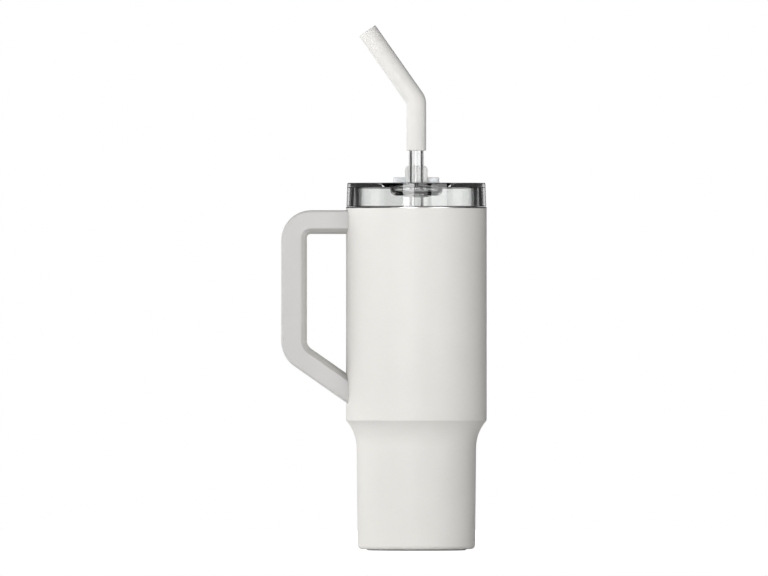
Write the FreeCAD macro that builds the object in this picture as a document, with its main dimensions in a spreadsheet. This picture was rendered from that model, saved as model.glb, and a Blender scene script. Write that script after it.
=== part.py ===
import FreeCAD, Part
import math
import os
import types

import Sketcher

# An insulated tumbler with a side handle, a clear lid with a flip cap, and a straw.
# +Z is up. The origin is the centre of the base, on the face that the tumbler stands on.
# The handle points along -X. The sip opening is on the +Y side. Millimetres and degrees.

DRIVING_SIZES = [
    # the double-walled body
    ("body_radius", 47.8, "outside radius of the upper body"),
    ("body_tall", 233.3, "height of the rim above the ground"),
    ("step_level", 88.3, "height of the edge where the body steps in"),
    ("step_depth", 7.1, "how far the body steps in for a cup holder"),
    ("step_angle", 39.5, "slope of the step, from the vertical"),
    ("step_round", 1.0, "rounding of the step's edge"),
    ("waist_round", 28.0, "rounding where the step runs into the lower wall"),
    ("base_taper", 0.8, "how much smaller the radius is at the base"),
    ("base_round", 2.8, "rounding of the base edge"),
    ("steel", 0.8, "sheet thickness of both walls"),
    ("vacuum_gap", 3.0, "space between the two walls"),
    ("floor_level", 8.4, "height of the drink's floor above the ground"),
    ("floor_round", 6.0, "rounding of the drink's floor"),
    ("liner_waist_round", 20.0, "rounding of the liner below its step"),
    ("liner_step_round", 3.0, "rounding of the liner's step"),
    ("rim_roll", 1.6, "rounding of the drinking rim"),
    ("rim_edge_round", 0.35, "rounding of the rim's outer edge"),
    # the base
    ("pad_stand", 0.8, "how far the pad stands proud of the steel"),
    ("pad_radius", 33.7, "radius of the anti-slip pad"),
    ("pad_groove", 24.0, "radius of the ring groove under the pad"),
    ("pad_groove_wide", 1.6, "width of that groove"),
    ("pad_groove_deep", 0.5, "depth of that groove"),
    ("plate_overlap", 2.8, "how far the base plate overlaps the shell's flange"),
    ("dimple_radius", 5.0, "radius of the base plate's dimple"),
    ("dimple_rise", 1.0, "height of the base plate's dimple"),
    ("port_radius", 0.7, "radius of the evacuation port"),
    ("seal_radius", 3.0, "radius of the solder plug that closes the port"),
    ("seal_thick", 0.6, "thickness of that plug"),
    ("getter_radius", 5.0, "radius of the getter pellet"),
    ("getter_tall", 2.0, "height of the getter pellet"),
    ("getter_out", 20.0, "distance of the getter from the axis"),
    ("foil_thick", 0.15, "thickness of the copper foil"),
    ("foil_inset", 12.0, "bare height above and below the foil"),
    # the handle
    ("handle_drop", 2.3, "how far the top of the handle is below the rim"),
    ("handle_reach", 44.0, "how far the handle stands out from the body"),
    ("handle_wide", 25.0, "width of the handle"),
    ("leg_thick", 17.4, "thickness of the upright leg"),
    ("arm_thick", 16.1, "thickness of the top arm"),
    ("brace_thick", 16.3, "thickness of the sloping lower arm"),
    ("brace_angle", 35.0, "slope of the lower arm"),
    ("brace_level", 120.4, "height where the top of the lower arm meets the body"),
    ("top_corner", 20.4, "outer rounding of the upper corner"),
    ("low_corner", 21.0, "outer rounding of the lower corner"),
    ("top_inner_corner", 2.5, "inner rounding of the upper corner"),
    ("low_inner_corner", 6.5, "inner rounding of the lower corner"),
    ("handle_edge", 2.0, "rounding of the handle's outer edges"),
    ("bevel_deep", 3.8, "depth of the bevels on the handle's finger side"),
    ("bevel_wide", 8.2, "width of those bevels, towards the handle's middle"),
    ("handle_wall", 2.6, "wall between the handle's outside and its channel"),
    ("channel_wide", 14.8, "width of the channel inside the handle"),
    ("cover_thick", 2.4, "thickness of the channel's cover"),
    ("snug", 0.15, "gap round the cover and at the handle's ends"),
    # the handle's fixing
    ("tab_thick", 1.5, "thickness of a bracket's tongue"),
    ("tab_wide", 12.0, "width of a bracket"),
    ("tab_long", 18.0, "length of a bracket's tongue"),
    ("tab_depth", 6.6, "depth of the tongue below the finger side"),
    ("weld_thick", 2.0, "thickness of a bracket's welded foot"),
    ("screw_out", 11.0, "distance of a screw from the body"),
    ("screw_radius", 1.45, "radius of a screw"),
    ("screw_head_radius", 3.1, "radius of a screw's head"),
    ("screw_head_tall", 2.2, "height of a screw's head"),
    ("screw_long", 5.6, "length of a screw below its head"),
    ("socket_radius", 1.2, "radius of a screw's drive socket"),
    ("insert_radius", 2.4, "outside radius of a threaded insert"),
    ("insert_long", 4.4, "length of a threaded insert"),
    ("boss_radius", 4.0, "radius of the boss round an insert"),
    ("thread_fit", 0.02, "gap between a screw and its insert"),
    ("end_overlap", 4.0, "how far the handle's blank runs into the body before it is cut"),
    # the lid
    ("lid_gap", 0.3, "gap between the rim and the lid"),
    ("lid_tall", 16.0, "height of the lid above the rim"),
    ("lid_inset", 0.9, "how much narrower than the body the lid's top is"),
    ("lid_flare", 0.6, "how much wider the lid is at its bottom"),
    ("skirt_clear", 0.8, "space between the lid's skirt and its plug wall"),
    ("plate_thick", 3.0, "thickness of the lid's top plate"),
    ("plug_gap", 1.6, "space between the plug wall and the mouth"),
    ("plug_thick", 2.2, "thickness of the plug wall"),
    ("plug_deep", 14.3, "how far the plug goes into the mouth"),
    ("lid_edge", 0.7, "rounding of the lid's edges"),
    ("well_radius", 15.6, "radius of the well round the straw"),
    ("well_deep", 6.4, "depth of the well"),
    ("well_wall", 2.2, "thickness of the well's wall and floor"),
    ("well_round", 4.0, "rounding of the well's mouth"),
    ("well_corner", 3.8, "outer rounding of the well's floor"),
    ("vent_radius", 1.0, "radius of the vent hole"),
    ("vent_out", 30.0, "distance of the vent hole from the axis"),
    ("seal_fit", 0.05, "fitting gap round the lid's soft pieces"),
    ("groove_deep", 1.2, "depth of the gasket's groove"),
    ("groove_tall", 6.0, "height of the gasket's groove"),
    ("groove_low", 4.0, "plug wall left below the groove"),
    ("gasket_gap", 0.1, "gap between the gasket's fins and the mouth"),
    ("fin_thick", 1.1, "thickness of a gasket fin"),
    # the straw and its mouthpiece
    ("straw_radius", 5.0, "outside radius of the straw"),
    ("straw_wall", 1.5, "wall of the straw"),
    ("straw_low", 15.2, "height of the straw's foot above the ground"),
    ("straw_top", 48.4, "height of the straw's top above the lid"),
    ("bead_radius", 6.2, "radius of the straw's retaining bead"),
    ("bead_tall", 2.4, "height of the retaining bead"),
    ("straw_travel", 45.0, "how far the straw pulls up before its bead stops it"),
    ("straw_fit", 0.08, "running gap round the straw"),
    ("grommet_neck", 7.2, "radius of the grommet's neck"),
    ("grommet_flange", 9.5, "radius of the grommet's upper flange"),
    ("grommet_lip", 1.7, "thickness of the grommet's upper flange"),
    ("grommet_under_flange", 8.4, "radius of the grommet's lower flange"),
    ("grommet_under_lip", 0.8, "thickness of the grommet's lower flange"),
    ("mouthpiece_radius", 6.65, "outside radius of the mouthpiece"),
    ("mouthpiece_bore", 3.7, "radius of the mouthpiece's bore"),
    ("mouthpiece_low", 22.0, "height of the mouthpiece's lower end above the lid"),
    ("elbow_level", 56.0, "height of the mouthpiece's bend above the lid"),
    ("elbow_inner", 1.05, "radius on the inside of the bend"),
    ("elbow_angle", 35.1, "lean of the mouthpiece's tip"),
    ("tip_long", 58.0, "length from the bend to the tip"),
    ("tip_round", 0.6, "rounding of the mouthpiece's ends"),
    # the sip opening and its flip cap
    ("seat_wide", 31.3, "width of the sip seat"),
    ("seat_deep", 12.4, "depth of the sip seat, front to back"),
    ("seat_tall", 3.9, "height of the sip seat above the lid"),
    ("seat_wall", 1.6, "seat left in front of the sip slot"),
    ("seat_corner", 2.5, "rounding of the seat's corners"),
    ("slot_wide", 11.0, "width of the sip slot"),
    ("slot_deep", 5.0, "depth of the sip slot, front to back"),
    ("neck_wall", 1.8, "wall of the seat's neck through the lid"),
    ("seat_lip", 1.4, "thickness of the seat's lip under the lid"),
    ("seat_lip_wide", 1.2, "how far that lip reaches past the neck"),
    ("hinge_out", 22.8, "distance of the flip cap's hinge from the axis"),
    ("hinge_up", 2.3, "height of the hinge above the lid"),
    ("knuckle_radius", 2.0, "radius of the flip cap's knuckle"),
    ("knuckle_wide", 7.4, "width of the knuckle"),
    ("lug_thick", 2.2, "thickness of a hinge lug"),
    ("side_gap", 0.3, "gap beside moving parts"),
    ("pin_radius", 0.9, "radius of the hinge pin"),
    ("pin_fit", 0.06, "running gap round the hinge pin"),
    ("cap_wide", 15.2, "width of the flip cap"),
    ("cap_tall", 11.6, "height of the flip cap when open"),
    ("cap_thick", 2.4, "thickness of the flip cap"),
    ("cap_front", 2.4, "offset of the flip cap from its hinge"),
    ("cap_tail", 2.0, "how far the flip cap reaches past its hinge"),
    ("cap_corner", 3.0, "rounding of the flip cap's corners"),
    ("cap_edge", 0.5, "rounding of the flip cap's edges"),
    ("plug_flange", 0.5, "thickness of the cap plug's flange"),
    ("plug_rim", 0.5, "how far that flange reaches past the slot's ends"),
    ("plug_side", 0.3, "gap between the cap plug and the slot"),
    ("plug_into", 1.2, "how far the cap plug goes into the slot"),
    ("key_deep", 1.0, "how far the cap plug's key goes into the cap"),
]


class Size:
    """A size with the spreadsheet expression that gives it."""

    def __init__(self, value, text):
        self.value = value
        self.text = text

    def __add__(self, other):
        return joined(self, "+", other, self.value + as_size(other).value)

    def __radd__(self, other):
        return as_size(other) + self

    def __sub__(self, other):
        return joined(self, "-", other, self.value - as_size(other).value)

    def __rsub__(self, other):
        return as_size(other) - self

    def __mul__(self, other):
        return joined(self, "*", other, self.value * as_size(other).value)

    def __rmul__(self, other):
        return as_size(other) * self

    def __truediv__(self, other):
        return joined(self, "/", other, self.value / as_size(other).value)

    def __neg__(self):
        return Size(-self.value, "(0 - %s)" % self.text)


def as_size(number):
    return number if isinstance(number, Size) else Size(float(number), repr(number))


def joined(left, sign, right, value):
    return Size(value, "(%s %s %s)" % (as_size(left).text, sign, as_size(right).text))


def sine(angle):
    return Size(math.sin(math.radians(angle.value)), "sin(%s)" % angle.text)


def cosine(angle):
    return Size(math.cos(math.radians(angle.value)), "cos(%s)" % angle.text)


def tangent(angle):
    return Size(math.tan(math.radians(angle.value)), "tan(%s)" % angle.text)


def smaller(first, second):
    return Size(min(first.value, second.value), "min(%s; %s)" % (first.text, second.text))


def larger(first, second):
    return Size(max(first.value, second.value), "max(%s; %s)" % (first.text, second.text))


doc = FreeCAD.newDocument("InsulatedTumbler")


def fill_sheet():
    """Write the driving sizes into the spreadsheet, and give each one as a Size."""
    sheet = doc.addObject("Spreadsheet::Sheet", "Sizes")
    sizes = types.SimpleNamespace()
    for row, (alias, value, meaning) in enumerate(DRIVING_SIZES, start=1):
        sheet.set("A%d" % row, meaning)
        sheet.set("B%d" % row, str(value))
        sheet.setAlias("B%d" % row, alias)
        setattr(sizes, alias, Size(float(value), "Sizes.%s" % alias))
    doc.recompute()
    return sizes


d = fill_sheet()


# Helpers that draw bound sketches and make features from them

def new_body(name):
    body = doc.addObject("PartDesign::Body", name)
    body.Label = name
    return body


def new_sketch(body, name, plane_role, lift=None):
    """A sketch on one of the body's own origin planes, lifted along the plane's normal."""
    sketch = body.newObject("Sketcher::SketchObject", name)
    plane = next(item for item in body.Origin.OriginFeatures if item.Role == plane_role)
    sketch.AttachmentSupport = [(plane, "")]
    sketch.MapMode = "FlatFace"
    if lift is not None:
        sketch.AttachmentOffset = FreeCAD.Placement(FreeCAD.Vector(0, 0, lift.value), FreeCAD.Rotation())
        sketch.setExpression("AttachmentOffset.Base.z", lift.text)
    return sketch


def bind(sketch, constraint, size):
    """Add a constraint whose value comes from the spreadsheet."""
    number = sketch.addConstraint(constraint)
    sketch.setExpression("Constraints[%d]" % number, size.text)


def place_point(sketch, geometry, end, across, up):
    across = as_size(across)
    up = as_size(up)
    bind(sketch, Sketcher.Constraint("DistanceX", -1, 1, geometry, end, across.value), across)
    bind(sketch, Sketcher.Constraint("DistanceY", -1, 1, geometry, end, up.value), up)


def round_corner(before, corner, after, radius):
    """Where a corner's rounding starts and ends, with its centre and its turn."""
    back = (before - corner).normalize()
    onward = (after - corner).normalize()
    half_angle = back.getAngle(onward) / 2
    reach = radius / math.tan(half_angle)
    centre = corner + (back + onward).normalize() * (radius / math.sin(half_angle))
    turns_left = back.cross(onward).z < 0
    return corner + back * reach, corner + onward * reach, centre, turns_left


def draw_outline(sketch, corners):
    """Close straight edges through the corners, each given as (across, up) or (across, up, radius)."""
    places = [FreeCAD.Vector(as_size(c[0]).value, as_size(c[1]).value) for c in corners]
    count = len(corners)
    radii = [as_size(c[2]) if len(c) == 3 else None for c in corners]
    starts = list(places)
    ends = list(places)
    arcs = [None] * count
    for i, radius in enumerate(radii):
        if radius is None:
            continue
        after = places[(i + 1) % count]
        ends[i], starts[i], centre, turns_left = round_corner(places[i - 1], places[i], after, radius.value)
        first, last = (ends[i], starts[i]) if turns_left else (starts[i], ends[i])
        from_angle = math.atan2(first.y - centre.y, first.x - centre.x)
        to_angle = math.atan2(last.y - centre.y, last.x - centre.x)
        if to_angle < from_angle:
            to_angle += 2 * math.pi
        circle = Part.Circle(centre, FreeCAD.Vector(0, 0, 1), radius.value)
        arcs[i] = (Part.ArcOfCircle(circle, from_angle, to_angle), turns_left)
    lines = [
        sketch.addGeometry(Part.LineSegment(starts[i], ends[(i + 1) % count]), False)
        for i in range(count)
    ]
    for i, corner in enumerate(corners):
        if arcs[i] is None:
            sketch.addConstraint(Sketcher.Constraint("Coincident", lines[i - 1], 2, lines[i], 1))
            place_point(sketch, lines[i], 1, corner[0], corner[1])
            continue
        curve, turns_left = arcs[i]
        arc = sketch.addGeometry(curve, False)
        point = sketch.addGeometry(Part.Point(places[i]), True)
        arc_start, arc_end = (1, 2) if turns_left else (2, 1)
        sketch.addConstraint(Sketcher.Constraint("Tangent", lines[i - 1], 2, arc, arc_start))
        sketch.addConstraint(Sketcher.Constraint("Tangent", lines[i], 1, arc, arc_end))
        sketch.addConstraint(Sketcher.Constraint("PointOnObject", point, 1, lines[i - 1]))
        sketch.addConstraint(Sketcher.Constraint("PointOnObject", point, 1, lines[i]))
        place_point(sketch, point, 1, corner[0], corner[1])
        bind(sketch, Sketcher.Constraint("Radius", arc, radii[i].value), radii[i])


def draw_circle(sketch, across, up, radius):
    across = as_size(across)
    up = as_size(up)
    circle = Part.Circle(FreeCAD.Vector(across.value, up.value), FreeCAD.Vector(0, 0, 1), radius.value)
    geometry = sketch.addGeometry(circle, False)
    place_point(sketch, geometry, 3, across, up)
    bind(sketch, Sketcher.Constraint("Radius", geometry, radius.value), radius)


def box_corners(left, right, low, high, radius=None):
    """The four corners of a rectangle, all rounded alike if a radius is given."""
    corners = [(left, low), (right, low), (right, high), (left, high)]
    return corners if radius is None else [(x, y, radius) for x, y in corners]


def slot_corners(middle, wide, deep):
    """A slot with round ends: its radius is just short of half its depth."""
    end_radius = smaller(wide, deep) * 0.49
    return box_corners(-wide / 2, wide / 2, middle - deep / 2, middle + deep / 2, end_radius)


def checked_cut(body, feature, volume_before):
    """A cut must take something away."""
    if not body.Shape.Volume < volume_before - 1e-6:
        raise RuntimeError("%s cuts nothing" % feature.Name)


def revolve(body, name, corners, cut=False):
    """Turn an outline in the XZ plane about the Z axis, to add material or to cut a groove."""
    volume = body.Shape.Volume if cut else 0
    sketch = new_sketch(body, name + "_outline", "XZ_Plane")
    draw_outline(sketch, corners)
    feature = body.newObject("PartDesign::Groove" if cut else "PartDesign::Revolution", name)
    feature.Profile = sketch
    feature.ReferenceAxis = (sketch, ["V_Axis"])
    feature.Angle = 360
    doc.recompute()
    if cut:
        checked_cut(body, feature, volume)
    return feature


def extrude(body, name, plane_role, loops, length, lift=None, cut=False, both_ways=False, reverse=False):
    """Pad or pocket the loops: each is a list of corners, or (across, up, radius) for a circle."""
    volume = body.Shape.Volume if cut else 0
    sketch = new_sketch(body, name + "_outline", plane_role, lift)
    for loop in loops:
        if isinstance(loop, list):
            draw_outline(sketch, loop)
        else:
            draw_circle(sketch, *loop)
    feature = body.newObject("PartDesign::Pocket" if cut else "PartDesign::Pad", name)
    feature.Profile = sketch
    feature.SideType = "Symmetric" if both_ways else "One side"
    feature.Reversed = reverse
    feature.Length = length.value
    feature.setExpression("Length", length.text)
    doc.recompute()
    if cut:
        checked_cut(body, feature, volume)
    return feature


def round_edges(body, name, radius, chosen):
    """Fillet the edges of the body's last feature that the test chooses."""
    base = body.Tip
    edges = ["Edge%d" % (i + 1) for i, edge in enumerate(base.Shape.Edges) if chosen(edge)]
    if not edges:
        raise RuntimeError("%s finds no edge" % name)
    feature = body.newObject("PartDesign::Fillet", name)
    feature.Base = (base, edges)
    feature.Radius = radius.value
    feature.setExpression("Radius", radius.text)
    doc.recompute()
    return feature


def bevel_edges(body, name, wide, deep, chosen):
    """Bevel the chosen edges of the body's last feature, by unequal amounts on their two faces."""
    tip = body.Tip
    edges = ["Edge%d" % (i + 1) for i, edge in enumerate(tip.Shape.Edges) if chosen(edge)]
    feature = body.newObject("PartDesign::Chamfer", name)
    feature.Base = (tip, edges)
    feature.ChamferType = "Two distances"
    feature.Size = wide.value
    feature.setExpression("Size", wide.text)
    feature.Size2 = deep.value
    feature.setExpression("Size2", deep.text)
    doc.recompute()
    return feature


def bound_placement(item, x=0, y=0, z=0, turn=0, axis=FreeCAD.Vector(0, 1, 0)):
    """Give an object a placement that follows the spreadsheet."""
    turn = as_size(turn)
    place = FreeCAD.Vector(as_size(x).value, as_size(y).value, as_size(z).value)
    item.Placement = FreeCAD.Placement(place, FreeCAD.Rotation(axis, turn.value))
    item.setExpression("Placement.Base.x", as_size(x).text)
    item.setExpression("Placement.Base.y", as_size(y).text)
    item.setExpression("Placement.Base.z", as_size(z).text)
    if turn.value:
        item.setExpression("Placement.Rotation.Angle", turn.text)


def cylinder(name, radius, length, **placement):
    item = doc.addObject("Part::Cylinder", name)
    item.Label = name
    item.setExpression("Radius", radius.text)
    item.setExpression("Height", length.text)
    bound_placement(item, **placement)
    return item


def combine(kind, name, base, tool):
    item = doc.addObject(kind, name)
    item.Label = name
    item.Base = base
    item.Tool = tool
    return item


def near(first, second):
    return abs(first - second) < 0.01


# The body's walls: each surface is the outside drawn again, a distance further in

low_radius = d.body_radius - d.step_depth
base_radius = low_radius - d.base_taper
rim_under = d.body_tall - d.steel
wall_total = d.steel * 2 + d.vacuum_gap
mouth_radius = d.body_radius - wall_total
slope_long = d.step_depth / sine(d.step_angle)
half_turn = tangent(d.step_angle / 2)


def step_corner(inward, radius=None):
    """The corner between the upper wall and the slope of the step."""
    place = (d.body_radius - inward, d.step_level + inward * half_turn)
    return place if radius is None else place + (radius,)


def waist_corner(inward, wanted_round, step_rounding):
    """The corner between the slope and the lower wall, rounded as far as the slope allows."""
    fall = d.step_depth / tangent(d.step_angle)
    room = (slope_long - step_rounding * half_turn) / half_turn * 0.95
    radius = smaller(as_size(wanted_round), room)
    return (low_radius - inward, d.step_level - fall + inward * half_turn, radius)


def make_outer_shell():
    """The coated outer wall, open under its base, with a small flange turned in there."""
    body = new_body("outer_shell")
    flange_edge = d.pad_radius + d.snug
    revolve(body, "outer_wall", [
        (d.body_radius, rim_under),
        step_corner(0, d.step_round),
        waist_corner(0, d.waist_round, d.step_round),
        (base_radius, d.pad_stand, d.base_round),
        (flange_edge, d.pad_stand),
        (flange_edge, d.pad_stand + d.steel),
        (base_radius - d.steel, d.pad_stand + d.steel, d.base_round - d.steel),
        waist_corner(d.steel, d.waist_round + d.steel, d.steel),
        step_corner(d.steel),
        (d.body_radius - d.steel, rim_under),
    ][::-1])
    return body


def make_inner_liner():
    """The bare steel liner that holds the drink, with the rim that covers the shell's edge."""
    body = new_body("inner_liner")
    outside = wall_total - d.steel
    revolve(body, "liner_wall", [
        (0, d.floor_level - d.steel),
        (base_radius - outside, d.floor_level - d.steel, d.floor_round + d.steel),
        waist_corner(outside, d.liner_waist_round - d.steel, d.liner_step_round + d.steel),
        step_corner(outside, d.liner_step_round + d.steel),
        (d.body_radius - outside, rim_under, d.steel),
        (d.body_radius, rim_under),
        (d.body_radius, d.body_tall, d.rim_edge_round),
        (mouth_radius, d.body_tall, d.rim_roll),
        step_corner(wall_total, d.liner_step_round),
        waist_corner(wall_total, d.liner_waist_round, d.liner_step_round),
        (base_radius - wall_total, d.floor_level, d.floor_round),
        (0, d.floor_level),
    ])
    return body


plate_under = d.pad_stand + d.steel
dimple_under = plate_under + d.dimple_rise


def make_base_plate():
    """The plate welded over the shell's flange, dimpled round the evacuation port."""
    body = new_body("base_plate")
    outer = d.pad_radius + d.snug + d.plate_overlap
    slope = d.dimple_rise * 1.5
    revolve(body, "base_disc", [
        (d.port_radius, dimple_under),
        (d.dimple_radius, dimple_under),
        (d.dimple_radius + slope, plate_under),
        (outer, plate_under),
        (outer, plate_under + d.steel),
        (d.dimple_radius + slope, plate_under + d.steel),
        (d.dimple_radius, dimple_under + d.steel),
        (d.port_radius, dimple_under + d.steel),
    ])
    return body


def make_vacuum_seal():
    """The solder plug in the dimple, under the evacuation port."""
    return cylinder("vacuum_seal", d.seal_radius, d.seal_thick, z=dimple_under - d.seal_thick)


def make_getter():
    """The pellet that keeps the vacuum, on the base plate between the walls."""
    level = plate_under + d.steel
    return cylinder("getter_pellet", d.getter_radius, d.getter_tall, x=d.getter_out, z=level)


def make_copper_foil():
    """The copper foil round the liner's upper wall, in the vacuum."""
    liner_outside = d.body_radius - wall_total + d.steel
    low = d.step_level + d.foil_inset
    tall = rim_under - d.foil_inset - low
    wrap = cylinder("foil_outside", liner_outside + d.foil_thick, tall, z=low)
    hollow = cylinder("foil_inside", liner_outside, tall, z=low)
    return combine("Part::Cut", "copper_foil", wrap, hollow)


def make_base_pad():
    """The anti-slip disc that the tumbler stands on, inside the shell's flange."""
    body = new_body("base_pad")
    groove_out = d.pad_groove + d.pad_groove_wide
    revolve(body, "pad_disc", [
        (0, 0),
        (d.pad_groove, 0),
        (d.pad_groove, d.pad_groove_deep),
        (groove_out, d.pad_groove_deep),
        (groove_out, 0),
        (d.pad_radius, 0, d.pad_stand / 2),
        (d.pad_radius, plate_under),
        (0, plate_under),
    ])
    return body


# The handle: straight stretches in the XZ plane, on the -X side of the body

handle_left = -(d.body_radius + d.handle_reach)
handle_top = d.body_tall - d.handle_drop
leg_inner = handle_left + d.leg_thick
handle_root = d.end_overlap - d.body_radius
brace_slope = tangent(d.brace_angle)
brace_lean = cosine(d.brace_angle)


def brace_top(x, deeper=0):
    """Height of the sloping arm's upper edge at x, or of a line a little deeper in the arm."""
    return d.brace_level - (d.body_radius + x) * brace_slope - as_size(deeper) / brace_lean


def handle_corners(outer_in, finger_in):
    """The handle's outline with its outer side and its finger side moved into the material."""
    outer_in = as_size(outer_in)
    finger_in = as_size(finger_in)
    outer_line = d.brace_thick - outer_in
    left = handle_left + outer_in
    inner = leg_inner - finger_in
    corners = [
        (handle_root, handle_top - outer_in),
        (left, handle_top - outer_in, d.top_corner - outer_in),
        (left, brace_top(left, outer_line), d.low_corner - outer_in),
        (handle_root, brace_top(handle_root, outer_line)),
        (handle_root, brace_top(handle_root, finger_in)),
        (inner, brace_top(inner, finger_in), d.low_inner_corner + finger_in),
        (inner, handle_top - d.arm_thick + finger_in, d.top_inner_corner + finger_in),
        (handle_root, handle_top - d.arm_thick + finger_in),
    ]
    return corners


def finger_strip(over, under):
    """A strip along the finger side, from just over the surface to a depth under it."""
    over = as_size(over)
    under = as_size(under)
    outward = leg_inner + over
    inward = leg_inner - under
    arm_under = handle_top - d.arm_thick
    return [
        (handle_root, brace_top(handle_root, -over)),
        (outward, brace_top(outward, -over), d.low_inner_corner - over),
        (outward, arm_under - over, d.top_inner_corner - over),
        (handle_root, arm_under - over),
        (handle_root, arm_under + under),
        (inward, arm_under + under, d.top_inner_corner + under),
        (inward, brace_top(inward, under), d.low_inner_corner + under),
        (handle_root, brace_top(handle_root, under)),
    ]


def body_clearance(body, name, gap):
    """Cut the body's own round outside, and a gap more, from a piece that meets it."""
    radius = d.body_radius + gap
    revolve(body, name, box_corners(0, radius, 0, d.body_tall), cut=True)


# Each arm has its own fixing. Its screw runs along "inward", from the finger side to the
# outside, and the arm runs away from the body along "outward".

def arm_frame(upper):
    """The arm's corner on the body's surface, and its two directions, in the XZ plane."""
    if upper:
        corner = (-d.body_radius, handle_top - d.arm_thick)
        return corner, (as_size(-1), as_size(0)), (as_size(0), as_size(1))
    lean = sine(d.brace_angle)
    corner = (-d.body_radius, d.brace_level)
    return corner, (-brace_lean, lean), (-lean, -brace_lean)


def arm_point(upper, out, deep):
    """A point in the XZ plane, a distance along the arm and a depth below its finger side."""
    corner, outward, inward = arm_frame(upper)
    out = as_size(out)
    deep = as_size(deep)
    x = corner[0] + outward[0] * out + inward[0] * deep
    z = corner[1] + outward[1] * out + inward[1] * deep
    return x, z


def arm_turn(upper):
    """The turn about Y that takes +Z to the direction of the arm's screw."""
    return as_size(0) if upper else d.brace_angle + 180


tab_far_side = d.tab_depth + d.tab_thick
boss_start = tab_far_side + d.snug


def arm_cylinder(name, upper, radius, length, deep):
    """A cylinder along an arm's screw axis, starting at a depth below the finger side."""
    x, z = arm_point(upper, d.screw_out, deep)
    return cylinder(name, radius, length, x=x, z=z, turn=arm_turn(upper))


def make_bracket(name, upper):
    """A steel bracket: a foot welded to the shell, and a tongue inside the arm."""
    body = new_body(name)
    corner = arm_frame(upper)[0]
    foot_out = -(d.body_radius + d.weld_thick)
    nearest = d.cover_thick + d.snug * 4
    if upper:
        foot_low = corner[1] + nearest
        foot_high = corner[1] + d.arm_thick - d.handle_wall - d.snug * 4
    else:
        foot_low = brace_top(foot_out, d.brace_thick - d.handle_wall - d.snug * 4)
        foot_high = brace_top(corner[0], nearest)
    root = handle_root
    extrude(body, name + "_foot", "XZ_Plane", [box_corners(foot_out, root, foot_low, foot_high)],
            d.tab_wide, both_ways=True)
    tongue_start = d.weld_thick * 0.5 if upper else d.tab_depth * -brace_slope + d.weld_thick * 0.5
    tongue = [
        arm_point(upper, tongue_start, d.tab_depth),
        arm_point(upper, d.tab_long, d.tab_depth),
        arm_point(upper, d.tab_long, tab_far_side),
        arm_point(upper, tongue_start, tab_far_side),
    ]
    extrude(body, name + "_tongue", "XZ_Plane", [tongue], d.tab_wide, both_ways=True)
    body_clearance(body, name + "_fit", as_size(0))
    hole_radius = d.screw_radius + d.snug * 2
    hole = arm_cylinder(name + "_hole", upper, hole_radius, d.tab_thick * 3, d.tab_depth - d.tab_thick)
    body.Label = name + "_blank"
    return combine("Part::Cut", name + "_drilled", body, hole)


def make_handle_frame():
    """The hard outer handle, with a channel open to the finger side and two screw bosses."""
    body = new_body("handle_frame")
    extrude(body, "handle_bar", "XZ_Plane", [handle_corners(0, 0)], d.handle_wide, both_ways=True)
    body_clearance(body, "handle_fit", d.snug)
    half = d.handle_wide.value / 2

    def is_side_edge(edge):
        return is_flat_at(edge, half) and edge.BoundBox.XMin < leg_far

    def on_finger_side(edge):
        middle = edge.valueAt((edge.FirstParameter + edge.LastParameter) / 2)
        outline_mid_x = leg_inner.value - d.leg_thick.value / 2
        under_arm = middle.z < handle_top.value - d.arm_thick.value / 2
        over_brace = middle.z > brace_top(as_size(middle.x), d.brace_thick / 2).value
        return middle.x > outline_mid_x and under_arm and over_brace

    leg_far = -d.body_radius.value - 2

    def is_bevelled(edge):
        return is_side_edge(edge) and on_finger_side(edge)

    def is_rounded(edge):
        return is_side_edge(edge) and not on_finger_side(edge)

    bevel_edges(body, "finger_bevel", d.bevel_wide, d.bevel_deep, is_bevelled)
    round_edges(body, "outer_rounding", d.handle_edge, is_rounded)
    channel = channel_corners()
    extrude(body, "handle_channel", "XZ_Plane", [channel], d.channel_wide, cut=True, both_ways=True)
    body.Label = "handle_frame_blank"
    item = body
    for upper, word in ((True, "upper"), (False, "lower")):
        arm = d.arm_thick if upper else d.brace_thick
        boss_long = arm - d.handle_wall / 2 - boss_start
        boss = arm_cylinder(word + "_boss", upper, d.boss_radius, boss_long, boss_start)
        bore_long = d.insert_long + d.snug
        bore = arm_cylinder(word + "_boss_bore", upper, d.insert_radius, bore_long, boss_start)
        item = combine("Part::Fuse", "frame_with_%s_boss" % word, item, boss)
        item = combine("Part::Cut", "frame_with_%s_bore" % word, item, bore)
    return item


def is_flat_at(edge, half):
    """Whether an edge lies in one of the two planes this far from the handle's middle plane."""
    box = edge.BoundBox
    return near(abs(box.YMin), half) and near(box.YMin, box.YMax)


def faces_fingers(edge):
    """Whether an edge of the cover is on its outside, which the fingers touch."""
    middle = edge.valueAt((edge.FirstParameter + edge.LastParameter) / 2)
    skin = d.cover_thick.value / 4
    under_arm = middle.z < (handle_top - d.arm_thick).value + skin
    over_brace = middle.z > brace_top(as_size(middle.x), skin).value
    return middle.x > leg_inner.value - skin and under_arm and over_brace


def channel_corners():
    """The channel: inside the handle's outer wall, and out past its finger side."""
    outer = handle_corners(d.handle_wall, 0)[:4]
    opening = finger_strip(1, 0)[:4]
    return outer + opening


def make_handle_cover():
    """The soft cover that closes the channel and hides the screws, bevelled like the frame."""
    body = new_body("handle_cover")
    wide = d.channel_wide - d.snug * 2
    extrude(body, "cover_strip", "XZ_Plane", [finger_strip(0, d.cover_thick)], wide, both_ways=True)
    body_clearance(body, "cover_fit", d.snug)
    half = (wide / 2).value
    flat_half = d.handle_wide / 2 - d.bevel_wide
    bevel = larger(wide / 2 - flat_half, d.snug)
    deep = smaller(bevel / d.bevel_wide * d.bevel_deep, d.cover_thick * 0.75)
    bevel_edges(body, "cover_bevel", bevel, deep, lambda e: is_flat_at(e, half) and faces_fingers(e))
    return body


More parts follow.
